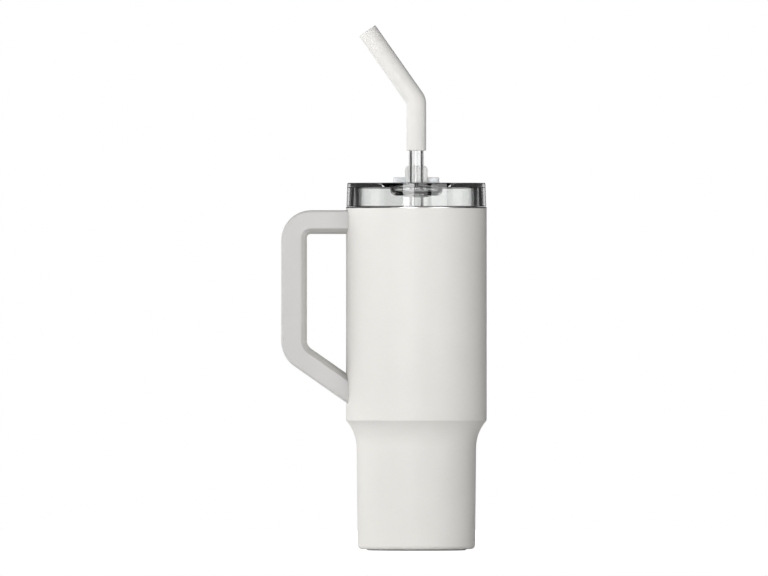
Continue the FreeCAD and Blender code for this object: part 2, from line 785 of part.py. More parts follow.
def make_fasteners(name, make_one):
    """One node for two identical pieces, one in each arm."""
    group = doc.addObject("Part::Compound", name)
    group.Label = name
    group.Links = [make_one(True, "upper"), make_one(False, "lower")]
    return group


def make_screw(upper, word):
    head_start = d.tab_depth - d.screw_head_tall
    head = arm_cylinder(word + "_screw_head", upper, d.screw_head_radius, d.screw_head_tall, head_start)
    shank = arm_cylinder(word + "_screw_shank", upper, d.screw_radius, d.screw_long, d.tab_depth)
    socket = arm_cylinder(word + "_screw_socket", upper, d.socket_radius, d.screw_head_tall / 2, head_start)
    solid = combine("Part::Fuse", word + "_screw_blank", head, shank)
    return combine("Part::Cut", word + "_screw", solid, socket)


def make_insert(upper, word):
    ring = arm_cylinder(word + "_insert_ring", upper, d.insert_radius, d.insert_long, boss_start)
    bore_radius = d.screw_radius + d.thread_fit
    bore = arm_cylinder(word + "_insert_bore", upper, bore_radius, d.insert_long, boss_start)
    return combine("Part::Cut", word + "_insert", ring, bore)


# The lid: one clear moulding, turned about the Z axis

lid_under = d.body_tall + d.lid_gap
lid_top = lid_under + d.lid_tall
lid_top_radius = d.body_radius - d.lid_inset
lid_low_radius = lid_top_radius + d.lid_flare
plate_low = lid_top - d.plate_thick
plug_outer = mouth_radius - d.plug_gap
plug_inner = plug_outer - d.plug_thick
plug_under = d.body_tall - d.plug_deep
groove_from = plug_under + d.groove_low
groove_to = groove_from + d.groove_tall
groove_radius = plug_outer - d.groove_deep
well_floor = lid_top - d.well_deep
well_under = well_floor - d.well_wall
seat_front = d.hinge_out + d.knuckle_radius + d.side_gap
seat_middle = seat_front + d.seat_deep / 2
slot_middle = seat_front + d.seat_wall + d.slot_deep / 2
hinge_level = lid_top + d.hinge_up


def make_lid_shell():
    """Top plate, skirt, plug wall with its groove, and the well round the straw."""
    body = new_body("lid_shell")
    well_outer = d.well_radius + d.well_wall
    floor_corner = smaller(d.well_corner, (plate_low - well_under) * 0.7)
    mouth_room = (d.well_deep - d.well_round) * 0.9
    revolve(body, "lid_moulding", [
        (d.grommet_neck, well_under),
        (well_outer, well_under, floor_corner),
        (well_outer, plate_low, (plate_low - well_under - floor_corner) * 0.9),
        (plug_inner, plate_low, d.lid_edge),
        (plug_inner, plug_under, d.lid_edge),
        (plug_outer, plug_under, d.lid_edge),
        (plug_outer, groove_from),
        (groove_radius, groove_from),
        (groove_radius, groove_to),
        (plug_outer, groove_to),
        (plug_outer, plate_low, d.skirt_clear * 0.4),
        (plug_outer + d.skirt_clear, plate_low, d.skirt_clear * 0.4),
        (plug_outer + d.skirt_clear + d.lid_flare, lid_under, d.lid_edge / 2),
        (lid_low_radius, lid_under, d.lid_edge / 2),
        (lid_top_radius, lid_top, d.lid_edge),
        (d.well_radius, lid_top, d.well_round),
        (d.well_radius, well_floor, smaller(floor_corner - d.well_wall / 2, mouth_room)),
        (d.grommet_neck, well_floor),
    ])
    lug_inner = d.knuckle_wide / 2 + d.side_gap
    lug_radius = d.knuckle_radius - d.seal_fit * 2
    for side, word in ((1, "right"), (-1, "left")):
        inner = lug_inner * side
        lug_outline = [
            (d.hinge_out - lug_radius, lid_top - d.plate_thick / 2),
            (d.hinge_out + lug_radius, lid_top - d.plate_thick / 2),
            (d.hinge_out + lug_radius, hinge_level + lug_radius, lug_radius * 0.98),
            (d.hinge_out - lug_radius, hinge_level + lug_radius, lug_radius * 0.98),
        ]
        extrude(body, word + "_lug", "YZ_Plane", [lug_outline], d.lug_thick, lift=inner, reverse=side < 0)
    lug_span = (lug_inner + d.lug_thick) * 2.2
    pin_bore = (d.hinge_out, hinge_level, d.pin_radius)
    extrude(body, "pin_bores", "YZ_Plane", [pin_bore], lug_span, cut=True, both_ways=True)
    neck_wide = d.slot_wide + d.neck_wall * 2 + d.snug * 2
    neck_deep = d.slot_deep + d.neck_wall + d.snug * 2
    seat_hole = slot_corners(slot_middle, neck_wide, neck_deep)
    vent = (0, -d.vent_out, d.vent_radius)
    hole_lift = plate_low - d.plate_thick
    hole_long = d.plate_thick * 3
    extrude(body, "seat_hole", "XY_Plane", [seat_hole], hole_long, lift=hole_lift, cut=True, reverse=True)
    extrude(body, "vent_hole", "XY_Plane", [vent], hole_long, lift=hole_lift, cut=True, reverse=True)
    return body


def make_lid_gasket():
    """The silicone ring in the plug's groove, with two fins that wipe the mouth."""
    body = new_body("lid_gasket")
    inner = groove_radius + d.seal_fit
    low = groove_from + d.seal_fit * 2
    high = groove_to - d.seal_fit * 2
    web = plug_outer + (mouth_radius - plug_outer) * 0.3
    fin = mouth_radius - d.gasket_gap
    droop = d.fin_thick * 0.4
    revolve(body, "gasket_ring", [
        (inner, low),
        (web, low),
        (fin, low + droop, d.fin_thick * 0.3),
        (fin, low + droop + d.fin_thick, d.fin_thick * 0.3),
        (web, low + d.fin_thick * 1.2),
        (web, high - d.fin_thick * 1.2),
        (fin, high - droop - d.fin_thick, d.fin_thick * 0.3),
        (fin, high - droop, d.fin_thick * 0.3),
        (web, high),
        (inner, high),
    ])
    return body


def make_straw_grommet():
    """The silicone grommet in the well's floor that grips the straw."""
    body = new_body("straw_grommet")
    bore = d.straw_radius + d.straw_fit
    neck = d.grommet_neck - d.seal_fit
    under = well_under - d.seal_fit
    over = well_floor + d.seal_fit
    revolve(body, "grommet_ring", [
        (bore, under - d.grommet_under_lip),
        (d.grommet_under_flange, under - d.grommet_under_lip, d.grommet_under_lip * 0.4),
        (d.grommet_under_flange, under),
        (neck, under),
        (neck, over),
        (d.grommet_flange, over),
        (d.grommet_flange, over + d.grommet_lip, d.grommet_lip * 0.4),
        (bore, over + d.grommet_lip, d.grommet_lip * 0.3),
    ])
    return body


def make_sip_seat():
    """The soft raised seat round the sip slot, held by a lip under the lid."""
    body = new_body("sip_seat")
    over = lid_top + d.seal_fit
    front = seat_front
    back = seat_front + d.seat_deep
    block = box_corners(-d.seat_wide / 2, d.seat_wide / 2, front, back, d.seat_corner)
    extrude(body, "seat_block", "XY_Plane", [block], d.seat_tall, lift=over)
    top_level = (over + d.seat_tall).value
    rounding = d.seat_tall / 5
    round_edges(body, "seat_rounding", rounding, lambda edge: near(edge.BoundBox.ZMin, top_level))
    neck_wide = d.slot_wide + d.neck_wall * 2
    neck_deep = d.slot_deep + d.neck_wall
    neck = slot_corners(slot_middle, neck_wide, neck_deep)
    lip_top = plate_low - d.seal_fit * 2
    extrude(body, "seat_neck", "XY_Plane", [neck], over - lip_top, lift=lip_top)
    lip_grow = d.seat_lip_wide * 2
    lip = slot_corners(slot_middle, neck_wide + lip_grow, neck_deep + lip_grow)
    lip_lift = lip_top - d.seat_lip
    extrude(body, "seat_retainer", "XY_Plane", [lip], d.seat_lip, lift=lip_lift)
    slot = slot_corners(slot_middle, d.slot_wide, d.slot_deep)
    total = d.seat_tall * 2 + d.plate_thick + d.seat_lip * 2
    extrude(body, "sip_slot", "XY_Plane", [slot], total, lift=lip_lift - d.seat_lip, cut=True, reverse=True)
    return body


# The flip cap is drawn open, standing upright in front of the sip seat

cap_low = hinge_level - d.cap_tail
cap_high = cap_low + d.cap_tall
cap_back = d.hinge_out - d.cap_front
closed_under = hinge_level + d.cap_front
plug_reach = d.cap_front + d.hinge_up - d.seat_tall + d.plug_into
slot_above_hinge = slot_middle - d.hinge_out


def make_flip_cap():
    """A rounded tab with a knuckle on its back, and a pocket for the plug's key."""
    body = new_body("flip_cap")
    tab = box_corners(-d.cap_wide / 2, d.cap_wide / 2, cap_low, cap_high, d.cap_corner)
    extrude(body, "cap_tab", "XZ_Plane", [tab], d.cap_thick, lift=-cap_back)
    round_edges(body, "cap_rounding", d.cap_edge, lambda edge: near(edge.BoundBox.YMax, edge.BoundBox.YMin))
    web = box_corners(cap_back - d.cap_thick / 2, d.hinge_out, hinge_level - d.knuckle_radius,
                      hinge_level + d.knuckle_radius)
    extrude(body, "knuckle_web", "YZ_Plane", [web], d.knuckle_wide, both_ways=True)
    barrel = (d.hinge_out, hinge_level, d.knuckle_radius)
    extrude(body, "knuckle_barrel", "YZ_Plane", [barrel], d.knuckle_wide, both_ways=True)
    bore = (d.hinge_out, hinge_level, d.pin_radius + d.pin_fit)
    extrude(body, "knuckle_bore", "YZ_Plane", [bore], d.knuckle_wide * 1.2, cut=True, both_ways=True)
    key = slot_corners(plug_level, key_wide, key_tall)
    extrude(body, "key_pocket", "XZ_Plane", [key], d.key_deep, lift=-cap_back, cut=True, reverse=True)
    return body


plug_level = hinge_level + slot_above_hinge + d.seal_fit * 2
key_wide = d.slot_wide * 0.55
key_tall = d.slot_deep * 0.5


def make_cap_plug():
    """The silicone plug that the flip cap presses into the sip slot."""
    body = new_body("cap_plug")
    flange = slot_corners(plug_level, d.slot_wide + d.plug_rim * 2, d.slot_deep + d.plug_rim * 0.8)
    extrude(body, "plug_flange_pad", "XZ_Plane", [flange], d.plug_flange, lift=-cap_back, reverse=True)
    stem_wide = d.slot_wide - d.plug_side * 2
    stem_tall = d.slot_deep - d.plug_side * 2 - d.seal_fit * 2
    stem = slot_corners(plug_level, stem_wide, stem_tall)
    extrude(body, "plug_stem", "XZ_Plane", [stem], plug_reach, lift=-cap_back, reverse=True)
    tip = (cap_back + plug_reach).value
    round_edges(body, "stem_rounding", d.plug_into / 3, lambda edge: near(edge.BoundBox.YMin, tip))
    key = slot_corners(plug_level, key_wide - d.seal_fit * 2, key_tall - d.seal_fit * 2)
    extrude(body, "plug_key", "XZ_Plane", [key], d.key_deep - d.seal_fit, lift=-cap_back)
    return body


def make_hinge_pin():
    """The steel pin that runs through both lugs and the knuckle."""
    half_span = d.knuckle_wide / 2 + d.side_gap + d.lug_thick
    side = FreeCAD.Vector(0, 1, 0)
    return cylinder("hinge_pin", d.pin_radius, half_span * 2, x=-half_span, y=d.hinge_out,
                    z=hinge_level, turn=90, axis=side)


# The straw and its bent mouthpiece

def make_straw_tube():
    """The clear straw, with a bead that stops it being pulled out of the grommet."""
    body = new_body("straw_tube")
    bore = d.straw_radius - d.straw_wall
    top = lid_top + d.straw_top
    edge = d.straw_wall * 0.3
    slope = d.bead_radius - d.straw_radius
    grommet_under = well_under - d.grommet_under_lip - d.seal_fit
    stop = grommet_under - d.straw_travel - d.side_gap - slope / 2
    revolve(body, "straw_wall_turned", [
        (bore, d.straw_low, edge),
        (d.straw_radius, d.straw_low, edge),
        (d.straw_radius, stop - d.bead_tall - slope),
        (d.bead_radius, stop - d.bead_tall),
        (d.bead_radius, stop),
        (d.straw_radius, stop + slope / 2),
        (d.straw_radius, top, edge),
        (bore, top, edge),
    ])
    return body


def mouthpiece_spine(body, name, start_level, past_end):
    """The centre line: straight up, round the elbow, and straight to the tip."""
    bend = d.mouthpiece_radius + d.elbow_inner
    vertex = lid_top + d.elbow_level
    tip_out = d.tip_long + past_end
    lean_x = -sine(d.elbow_angle)
    lean_z = cosine(d.elbow_angle)
    reach = bend * tangent(d.elbow_angle / 2)
    path = [
        (as_size(0), start_level),
        (as_size(0), vertex - reach),
        (lean_x * reach, vertex + lean_z * reach),
        (lean_x * tip_out, vertex + lean_z * tip_out),
    ]
    places = [FreeCAD.Vector(x.value, z.value) for x, z in path]
    sketch = new_sketch(body, name, "XZ_Plane")
    lower = sketch.addGeometry(Part.LineSegment(places[0], places[1]), False)
    centre = FreeCAD.Vector(-bend.value, places[1].y)
    circle = Part.Circle(centre, FreeCAD.Vector(0, 0, 1), bend.value)
    arc = sketch.addGeometry(Part.ArcOfCircle(circle, 0, math.radians(d.elbow_angle.value)), False)
    upper = sketch.addGeometry(Part.LineSegment(places[2], places[3]), False)
    sketch.addConstraint(Sketcher.Constraint("Tangent", lower, 2, arc, 1))
    sketch.addConstraint(Sketcher.Constraint("Coincident", arc, 2, upper, 1))
    place_point(sketch, lower, 1, *path[0])
    place_point(sketch, lower, 2, *path[1])
    place_point(sketch, upper, 1, *path[2])
    place_point(sketch, upper, 2, *path[3])
    return sketch


def make_mouthpiece():
    """The silicone mouthpiece: a sleeve over the straw, an elbow and a straight tip."""
    body = new_body("mouthpiece")
    low = lid_top + d.mouthpiece_low
    spine = mouthpiece_spine(body, "outer_spine", low, as_size(0))
    ring = new_sketch(body, "outer_ring", "XY_Plane", low)
    draw_circle(ring, 0, 0, d.mouthpiece_radius)
    pipe = body.newObject("PartDesign::AdditivePipe", "mouthpiece_outside")
    pipe.Profile = ring
    pipe.Spine = (spine, ["Edge1", "Edge2", "Edge3"])
    doc.recompute()
    ends = circular_edges(d.mouthpiece_radius)
    round_edges(body, "end_rounding", d.tip_round, ends)
    volume = body.Shape.Volume
    bore_spine = mouthpiece_spine(body, "bore_spine", low - 1, as_size(1))
    bore_ring = new_sketch(body, "bore_ring", "XY_Plane", low - 1)
    draw_circle(bore_ring, 0, 0, d.mouthpiece_bore)
    bore = body.newObject("PartDesign::SubtractivePipe", "mouthpiece_bore_pipe")
    bore.Profile = bore_ring
    bore.Spine = (bore_spine, ["Edge1", "Edge2", "Edge3"])
    doc.recompute()
    checked_cut(body, bore, volume)
    sleeve_long = d.straw_top - d.mouthpiece_low + d.side_gap
    sleeve = (0, 0, d.straw_radius + d.straw_fit)
    extrude(body, "sleeve_bore", "XY_Plane", [sleeve], sleeve_long, lift=low, cut=True, reverse=True)
    return body


def circular_edges(radius):
    """A test for the full circles of this radius at the two ends of the mouthpiece."""
    low_level = (lid_top + d.mouthpiece_low).value
    tip_level = (lid_top + d.elbow_level + cosine(d.elbow_angle) * (d.tip_long * 0.8)).value

    def is_end(edge):
        middle = edge.BoundBox.Center
        round_edge = near(edge.Length, 2 * math.pi * radius.value)
        return round_edge and (near(middle.z, low_level) or middle.z > tip_level)
    return is_end


def make_all():
    """Every sub-part by its node name."""
    return {
        "outer_shell": make_outer_shell(),
        "inner_liner": make_inner_liner(),
        "base_plate": make_base_plate(),
        "vacuum_seal": make_vacuum_seal(),
        "getter_pellet": make_getter(),
        "copper_foil": make_copper_foil(),
        "base_pad": make_base_pad(),
        "upper_bracket": make_bracket("upper_bracket", True),
        "lower_bracket": make_bracket("lower_bracket", False),
        "handle_frame": make_handle_frame(),
        "handle_cover": make_handle_cover(),
        "handle_screws": make_fasteners("handle_screws", make_screw),
        "handle_inserts": make_fasteners("handle_inserts", make_insert),
        "lid_shell": make_lid_shell(),
        "lid_gasket": make_lid_gasket(),
        "straw_grommet": make_straw_grommet(),
        "sip_seat": make_sip_seat(),
        "flip_cap": make_flip_cap(),
        "cap_plug": make_cap_plug(),
        "hinge_pin": make_hinge_pin(),
        "straw_tube": make_straw_tube(),
        "mouthpiece": make_mouthpiece(),
    }


def check_document(nodes):
    """Stop if any object failed or any sub-part is empty or invalid."""
    doc.recompute()
    for item in doc.Objects:
        if "Invalid" in item.State or "Error" in item.State:
            raise RuntimeError("%s failed: %s" % (item.Name, item.State))
    for name, item in nodes.items():
        if item.Shape.isNull() or not item.Shape.isValid() or not item.Shape.Solids:
            raise RuntimeError("%s has no valid solid" % name)


def write_parts(nodes):
    os.makedirs("parts", exist_ok=True)
    for name, item in nodes.items():
        item.Label = name
        item.Shape.exportStep("parts/%s.step" % name)
        print("%-16s %10.1f mm3  %d solid(s)" % (name, item.Shape.Volume, len(item.Shape.Solids)))


parts = make_all()
check_document(parts)
write_parts(parts)
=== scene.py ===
import math

import bmesh
import bpy
from mathutils import Matrix, Vector


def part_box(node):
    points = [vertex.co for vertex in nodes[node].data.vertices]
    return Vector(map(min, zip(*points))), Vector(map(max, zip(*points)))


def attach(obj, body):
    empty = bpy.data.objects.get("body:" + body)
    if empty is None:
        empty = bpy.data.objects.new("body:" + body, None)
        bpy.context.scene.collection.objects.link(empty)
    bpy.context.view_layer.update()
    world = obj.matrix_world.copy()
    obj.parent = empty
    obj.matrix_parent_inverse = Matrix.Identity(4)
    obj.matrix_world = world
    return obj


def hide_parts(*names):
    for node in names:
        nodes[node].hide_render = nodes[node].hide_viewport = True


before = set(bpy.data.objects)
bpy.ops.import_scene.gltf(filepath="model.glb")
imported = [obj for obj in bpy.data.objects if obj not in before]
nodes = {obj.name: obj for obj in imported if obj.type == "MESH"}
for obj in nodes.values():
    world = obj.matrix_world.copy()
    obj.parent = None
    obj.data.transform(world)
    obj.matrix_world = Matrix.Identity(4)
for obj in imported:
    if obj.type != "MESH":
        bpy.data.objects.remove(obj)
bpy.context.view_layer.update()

# An insulated tumbler with a side handle, a clear lid with a flip cap, and a straw.
# Everything is in metres in the part's own frame: +Z up, the handle towards -X, and the
# sip opening on the +Y side.

scene = bpy.context.scene
MM = 0.001


# Where the CAD says things are

shell_low, shell_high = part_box("outer_shell")
liner_low, liner_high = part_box("inner_liner")
pad_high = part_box("base_pad")[1]
frame_low, frame_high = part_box("handle_frame")
lid_low, lid_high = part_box("lid_shell")
seat_low, seat_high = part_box("sip_seat")
cap_low, cap_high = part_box("flip_cap")
pin_low, pin_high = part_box("hinge_pin")
plug_low, plug_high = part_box("cap_plug")
straw_low, straw_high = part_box("straw_tube")
mouth_low, mouth_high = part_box("mouthpiece")

body_radius = shell_high.x
rim_top = liner_high.z
rim_under = shell_high.z
seat_tall = 3.95 * MM
lid_top = seat_high.z - seat_tall


# Outlines

def rounded(corners, turn=5.0, chord=1.2 * MM):
    """The closed outline through corners (across, up) or (across, up, radius), with true arcs."""
    places = [Vector(c[:2]) for c in corners]
    outline = []
    for i, corner in enumerate(corners):
        radius = corner[2] if len(corner) == 3 else 0.0
        here = places[i]
        if radius <= 0:
            outline.append(tuple(here))
            continue
        back = (places[i - 1] - here).normalized()
        onward = (places[(i + 1) % len(places)] - here).normalized()
        half = back.angle(onward) / 2
        centre = here + (back + onward).normalized() * (radius / math.sin(half))
        start = here + back * (radius / math.tan(half)) - centre
        sweep = math.pi - 2 * half
        if back.cross(onward) > 0:
            sweep = -sweep
        steps = max(2, math.ceil(abs(sweep) / math.radians(turn)), math.ceil(abs(sweep) * radius / chord))
        for k in range(steps + 1):
            outline.append(tuple(centre + Matrix.Rotation(sweep * k / steps, 2) @ start))
    return outline


def straight_up(level):
    """The frame of a ring at a height on the Z axis: its centre and its two directions."""
    return Vector((0, 0, level)), Vector((1, 0, 0)), Vector((0, 1, 0))


def turned(bm, outline, segments, ring_frame=straight_up):
    """A closed outline of (radius, level) turned round an axis, or round a bent centre line."""
    rings = []
    for radius, level in outline:
        centre, across, deep = ring_frame(level)
        if radius < 1e-9:
            rings.append([bm.verts.new(centre)])
            continue
        angles = [2 * math.pi * k / segments for k in range(segments)]
        rings.append([bm.verts.new(centre + across * (radius * math.cos(a)) + deep * (radius * math.sin(a)))
                      for a in angles])
    for first, second in zip(rings, rings[1:] + rings[:1]):
        if len(first) == 1 and len(second) == 1:
            continue
        for k in range(segments):
            n = (k + 1) % segments
            corners = [first[k % len(first)], first[n % len(first)],
                       second[n % len(second)], second[k % len(second)]]
            unique = [v for i, v in enumerate(corners) if v not in corners[:i]]
            bm.faces.new(unique)


def lofted(bm, loops, closed=False, cap_ends=True):
    """Skin between loops of equal count; the last joins the first if closed."""
    rings = [[bm.verts.new(point) for point in loop] for loop in loops]
    count = len(rings[0])
    pairs = list(zip(rings, rings[1:]))
    if closed:
        pairs.append((rings[-1], rings[0]))
    for first, second in pairs:
        for k in range(count):
            n = (k + 1) % count
            bm.faces.new([first[k], first[n], second[n], second[k]])
    if cap_ends and not closed:
        bm.faces.new(rings[0])
        bm.faces.new(rings[-1][::-1])
    return rings


def piece(name, build, material, body, replaced=(), sharp=32.0):
    """Build a mesh, shade it, and tie it to the frame."""
    bm = bmesh.new()
    build(bm)
    bmesh.ops.recalc_face_normals(bm, faces=bm.faces)
    mesh = bpy.data.meshes.new(name)
    bm.to_mesh(mesh)
    bm.free()
    mesh.shade_smooth()
    mesh.set_sharp_from_angle(angle=math.radians(sharp))
    mesh.materials.append(material)
    item = bpy.data.objects.new(name, mesh)
    scene.collection.objects.link(item)
    normals = item.modifiers.new("weighted", "WEIGHTED_NORMAL")
    normals.keep_sharp = True
    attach(item, body)
    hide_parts(*replaced)
    return item


# Materials

def new_material(name, colour, roughness, metallic=0.0, **sockets):
    """A Principled material whose plain values sit on the shader's own sockets."""
    material = bpy.data.materials.new(name)
    material.use_nodes = True
    shader = material.node_tree.nodes["Principled BSDF"]
    shader.inputs["Base Color"].default_value = (*colour, 1)
    shader.inputs["Roughness"].default_value = roughness
    shader.inputs["Metallic"].default_value = metallic
    for socket, value in sockets.items():
        shader.inputs[socket.replace("_", " ")].default_value = value
    return material


def add_node(material, kind, links=(), **values):
    """A node with its sockets set or linked; a link is (socket, node, output)."""
    tree = material.node_tree
    node = tree.nodes.new(kind)
    for key, value in values.items():
        if hasattr(node, key):
            setattr(node, key, value)
        else:
            node.inputs[key.replace("_", " ")].default_value = value
    for socket, source, output in links:
        tree.links.new(source.outputs[output], node.inputs[socket])
    return node


def object_place(material, stretch=(1, 1, 1)):
    place = add_node(material, "ShaderNodeTexCoord")
    return add_node(material, "ShaderNodeMapping", [("Vector", place, "Object")], Scale=stretch)


def noise(material, place, scale, detail=2.0, roughness=0.5, distortion=0.0):
    return add_node(material, "ShaderNodeTexNoise", [("Vector", place, "Vector")],
                    Scale=scale, Detail=detail, Roughness=roughness, Distortion=distortion)


def vary_colour(material, source, dark, light, low=0.35, high=0.65):
    """Base colour that drifts between two close tones."""
    ramp = add_node(material, "ShaderNodeValToRGB", [("Fac", source, "Fac")])
    ramp.color_ramp.elements[0].position = low
    ramp.color_ramp.elements[1].position = high
    ramp.color_ramp.elements[0].color = (*dark, 1)
    ramp.color_ramp.elements[1].color = (*light, 1)
    shader = material.node_tree.nodes["Principled BSDF"]
    material.node_tree.links.new(ramp.outputs["Color"], shader.inputs["Base Color"])
    return ramp


def vary_roughness(material, source, low, high):
    spread = add_node(material, "ShaderNodeMapRange", [("Value", source, "Fac")],
                      From_Min=0.3, From_Max=0.7, To_Min=low, To_Max=high)
    shader = material.node_tree.nodes["Principled BSDF"]
    material.node_tree.links.new(spread.outputs["Result"], shader.inputs["Roughness"])


def add_bump(material, source, strength, distance, below=None, output="Fac"):
    """A bump node; below is a coarser bump that it rides on."""
    links = [("Height", source, output)]
    if below is not None:
        links.append(("Normal", below, "Normal"))
    bump = add_node(material, "ShaderNodeBump", links, Strength=strength, Distance=distance)
    shader = material.node_tree.nodes["Principled BSDF"]
    material.node_tree.links.new(bump.outputs["Normal"], shader.inputs["Normal"])
    return bump


def tone(colour, factor):
    return tuple(c * factor for c in colour)


def powder_coat_material():
    colour = (0.800, 0.786, 0.752)
    material = new_material("powder_coat", colour, 0.5)
    place = object_place(material)
    drift = noise(material, place, 22, 3)
    vary_colour(material, drift, tone(colour, 0.985), tone(colour, 1.012))
    grain = noise(material, place, 1500, 2, 0.55)
    vary_roughness(material, grain, 0.42, 0.6)
    peel = noise(material, place, 520, 1, 0.4)
    add_bump(material, grain, 0.22, 0.00006, add_bump(material, peel, 0.16, 0.00012))
    return material


def steel_material(name, colour, roughness, streak_scale, anisotropic=0.4):
    """Steel with turning marks that run round the Z axis."""
    material = new_material(name, colour, roughness, 1.0, Anisotropic=anisotropic)
    place = object_place(material, (1, 1, 30))
    marks = noise(material, place, streak_scale, 3, 0.6)
    vary_roughness(material, marks, roughness * 0.8, roughness * 1.25)
    cloud = noise(material, object_place(material), 60, 3)
    vary_colour(material, cloud, tone(colour, 0.96), tone(colour, 1.02))
    add_bump(material, marks, 0.12, 0.00004)
    return material


def handle_material():
    """Spark-textured moulded plastic."""
    colour = (0.600, 0.590, 0.580)
    material = new_material("handle_plastic", colour, 0.5)
    place = object_place(material)
    drift = noise(material, place, 30, 3)
    vary_colour(material, drift, tone(colour, 0.985), tone(colour, 1.012))
    spark = noise(material, place, 2300, 3, 0.7)
    vary_roughness(material, spark, 0.44, 0.62)
    add_bump(material, spark, 0.25, 0.00006)
    return material


def cover_material():
    """Soft-touch rubber with a faint suede-like grain."""
    colour = (0.500, 0.495, 0.465)
    material = new_material("handle_soft", colour, 0.72, Sheen_Weight=0.15, Sheen_Roughness=0.5)
    place = object_place(material)
    grain = noise(material, place, 3000, 4, 0.75)
    drift = noise(material, place, 45, 2)
    vary_colour(material, drift, tone(colour, 0.97), tone(colour, 1.02))
    vary_roughness(material, grain, 0.66, 0.8)
    add_bump(material, grain, 0.3, 0.00005)
    return material


def clear_material(name, colour, roughness, ior, marks, sheen=0.5):
    """Clear moulded plastic: faint flow marks under a polished skin."""
    material = new_material(name, colour, roughness, 0.0, Transmission_Weight=1.0, IOR=ior,
                            Specular_IOR_Level=sheen)
    place = object_place(material, (1, 1, 0.25))
    flow = noise(material, place, marks, 2, 0.4)
    vary_roughness(material, flow, roughness * 0.5, roughness * 1.5)
    vary_colour(material, flow, tone(colour, 0.99), colour)
    add_bump(material, flow, 0.03, 0.00015)
    return material


def silicone_material(name, colour, roughness, depth, weight=0.25):
    """Soft silicone: light goes a little way in, under a satin skin."""
    material = new_material(name, colour, roughness, 0.0, Subsurface_Weight=weight,
                            Subsurface_Scale=depth, Subsurface_Radius=(1.0, 0.9, 0.8), IOR=1.41)
    place = object_place(material)
    drift = noise(material, place, 70, 3)
    vary_colour(material, drift, tone(colour, 0.98), tone(colour, 1.01))
    skin = noise(material, place, 420, 1, 0.4)
    vary_roughness(material, skin, roughness * 0.94, roughness * 1.08)
    add_bump(material, skin, 0.1, 0.00004)
    return material


def milky_material(name, colour, roughness, clear):
    """Translucent silicone: some light goes straight through it, spread by a satin skin."""
    material = silicone_material(name, colour, roughness, 0.001, 0.0)
    material.node_tree.nodes["Principled BSDF"].inputs["Transmission Weight"].default_value = clear
    return material


def plain_metal(name, colour, roughness, scale):
    material = new_material(name, colour, roughness, 1.0)
    place = object_place(material)
    cloud = noise(material, place, scale, 4, 0.6)
    vary_colour(material, cloud, tone(colour, 0.88), tone(colour, 1.05))
    vary_roughness(material, cloud, roughness * 0.8, roughness * 1.2)
    add_bump(material, cloud, 0.2, 0.0001)
    return material


def getter_material():
    """A pressed and sintered metal powder pellet."""
    colour = (0.18, 0.17, 0.16)
    material = new_material("getter", colour, 0.85, 0.6)
    place = object_place(material)
    grain = add_node(material, "ShaderNodeTexVoronoi", [("Vector", place, "Vector")], Scale=2400)
    cloud = noise(material, place, 900, 3, 0.7)
    vary_colour(material, cloud, tone(colour, 0.7), tone(colour, 1.3))
    add_bump(material, grain, 0.5, 0.0002, output="Distance")
    return material


looks = {
    "powder_coat": powder_coat_material(),
    "liner_steel": steel_material("liner_steel", (0.62, 0.61, 0.59), 0.28, 130),
    "solder": plain_metal("solder", (0.70, 0.70, 0.68), 0.35, 600),
    "getter": getter_material(),
    "copper": plain_metal("copper", (0.86, 0.44, 0.28), 0.25, 90),
    "pad_silicone": silicone_material("pad_silicone", (0.60, 0.59, 0.56), 0.62, 0.0008, 0.1),
    "bracket_steel": plain_metal("bracket_steel", (0.55, 0.54, 0.52), 0.36, 300),
    "handle_plastic": handle_material(),
    "handle_soft": cover_material(),
    "screw_steel": plain_metal("screw_steel", (0.58, 0.57, 0.55), 0.25, 500),
    "insert_brass": plain_metal("insert_brass", (0.83, 0.62, 0.28), 0.3, 500),
    "clear_plastic": clear_material("clear_plastic", (0.985, 0.99, 0.985), 0.012, 1.54, 70, 0.85),
    "seal_silicone": milky_material("seal_silicone", (0.9, 0.9, 0.89), 0.35, 0.8),
    "white_silicone": silicone_material("white_silicone", (0.96, 0.965, 0.945), 0.5, 0.006, 0.8),
    "cap_plastic": silicone_material("cap_plastic", (0.66, 0.66, 0.65), 0.36, 0.0005, 0.0),
    "mouthpiece_silicone": silicone_material("mouthpiece_silicone", (0.82, 0.81, 0.785), 0.5, 0.0005, 0.0),
    "straw_plastic": clear_material("straw_plastic", (0.975, 0.98, 0.975), 0.02, 1.5, 120),
}

for name, node in nodes.items():
    slot_name = node.material_slots[0].material.name.split(".")[0] if node.material_slots else ""
    for material_slot in node.material_slots:
        material_slot.material = looks[slot_name]


# The double-walled body

step_level = 88.3 * MM
step_depth = 7.1 * MM
step_slope = math.radians(39.5)
base_taper = 0.8 * MM
steel = 0.8 * MM
wall = 4.6 * MM
low_radius = body_radius - step_depth
base_radius = low_radius - base_taper
half_turn = math.tan(step_slope / 2)
fall = step_depth / math.tan(step_slope)


def step_corner(inward, radius):
    return body_radius - inward, step_level + inward * half_turn, radius


def waist_corner(inward, radius):
    return low_radius - inward, step_level - fall + inward * half_turn, radius


def build_shell(bm):
    flange = pad_high.x + 0.15 * MM
    under = shell_low.z
    turned(bm, rounded([
        (body_radius, rim_under, 0.25 * MM),
        step_corner(0, 1.0 * MM),
        waist_corner(0, 28.0 * MM),
        (base_radius, under, 2.8 * MM),
        (flange, under, 0.2 * MM),
        (flange, under + steel, 0.2 * MM),
        (base_radius - steel, under + steel, 2.0 * MM),
        waist_corner(steel, 27.0 * MM),
        step_corner(steel, 0.8 * MM),
        (body_radius - steel, rim_under),
    ]), 288)


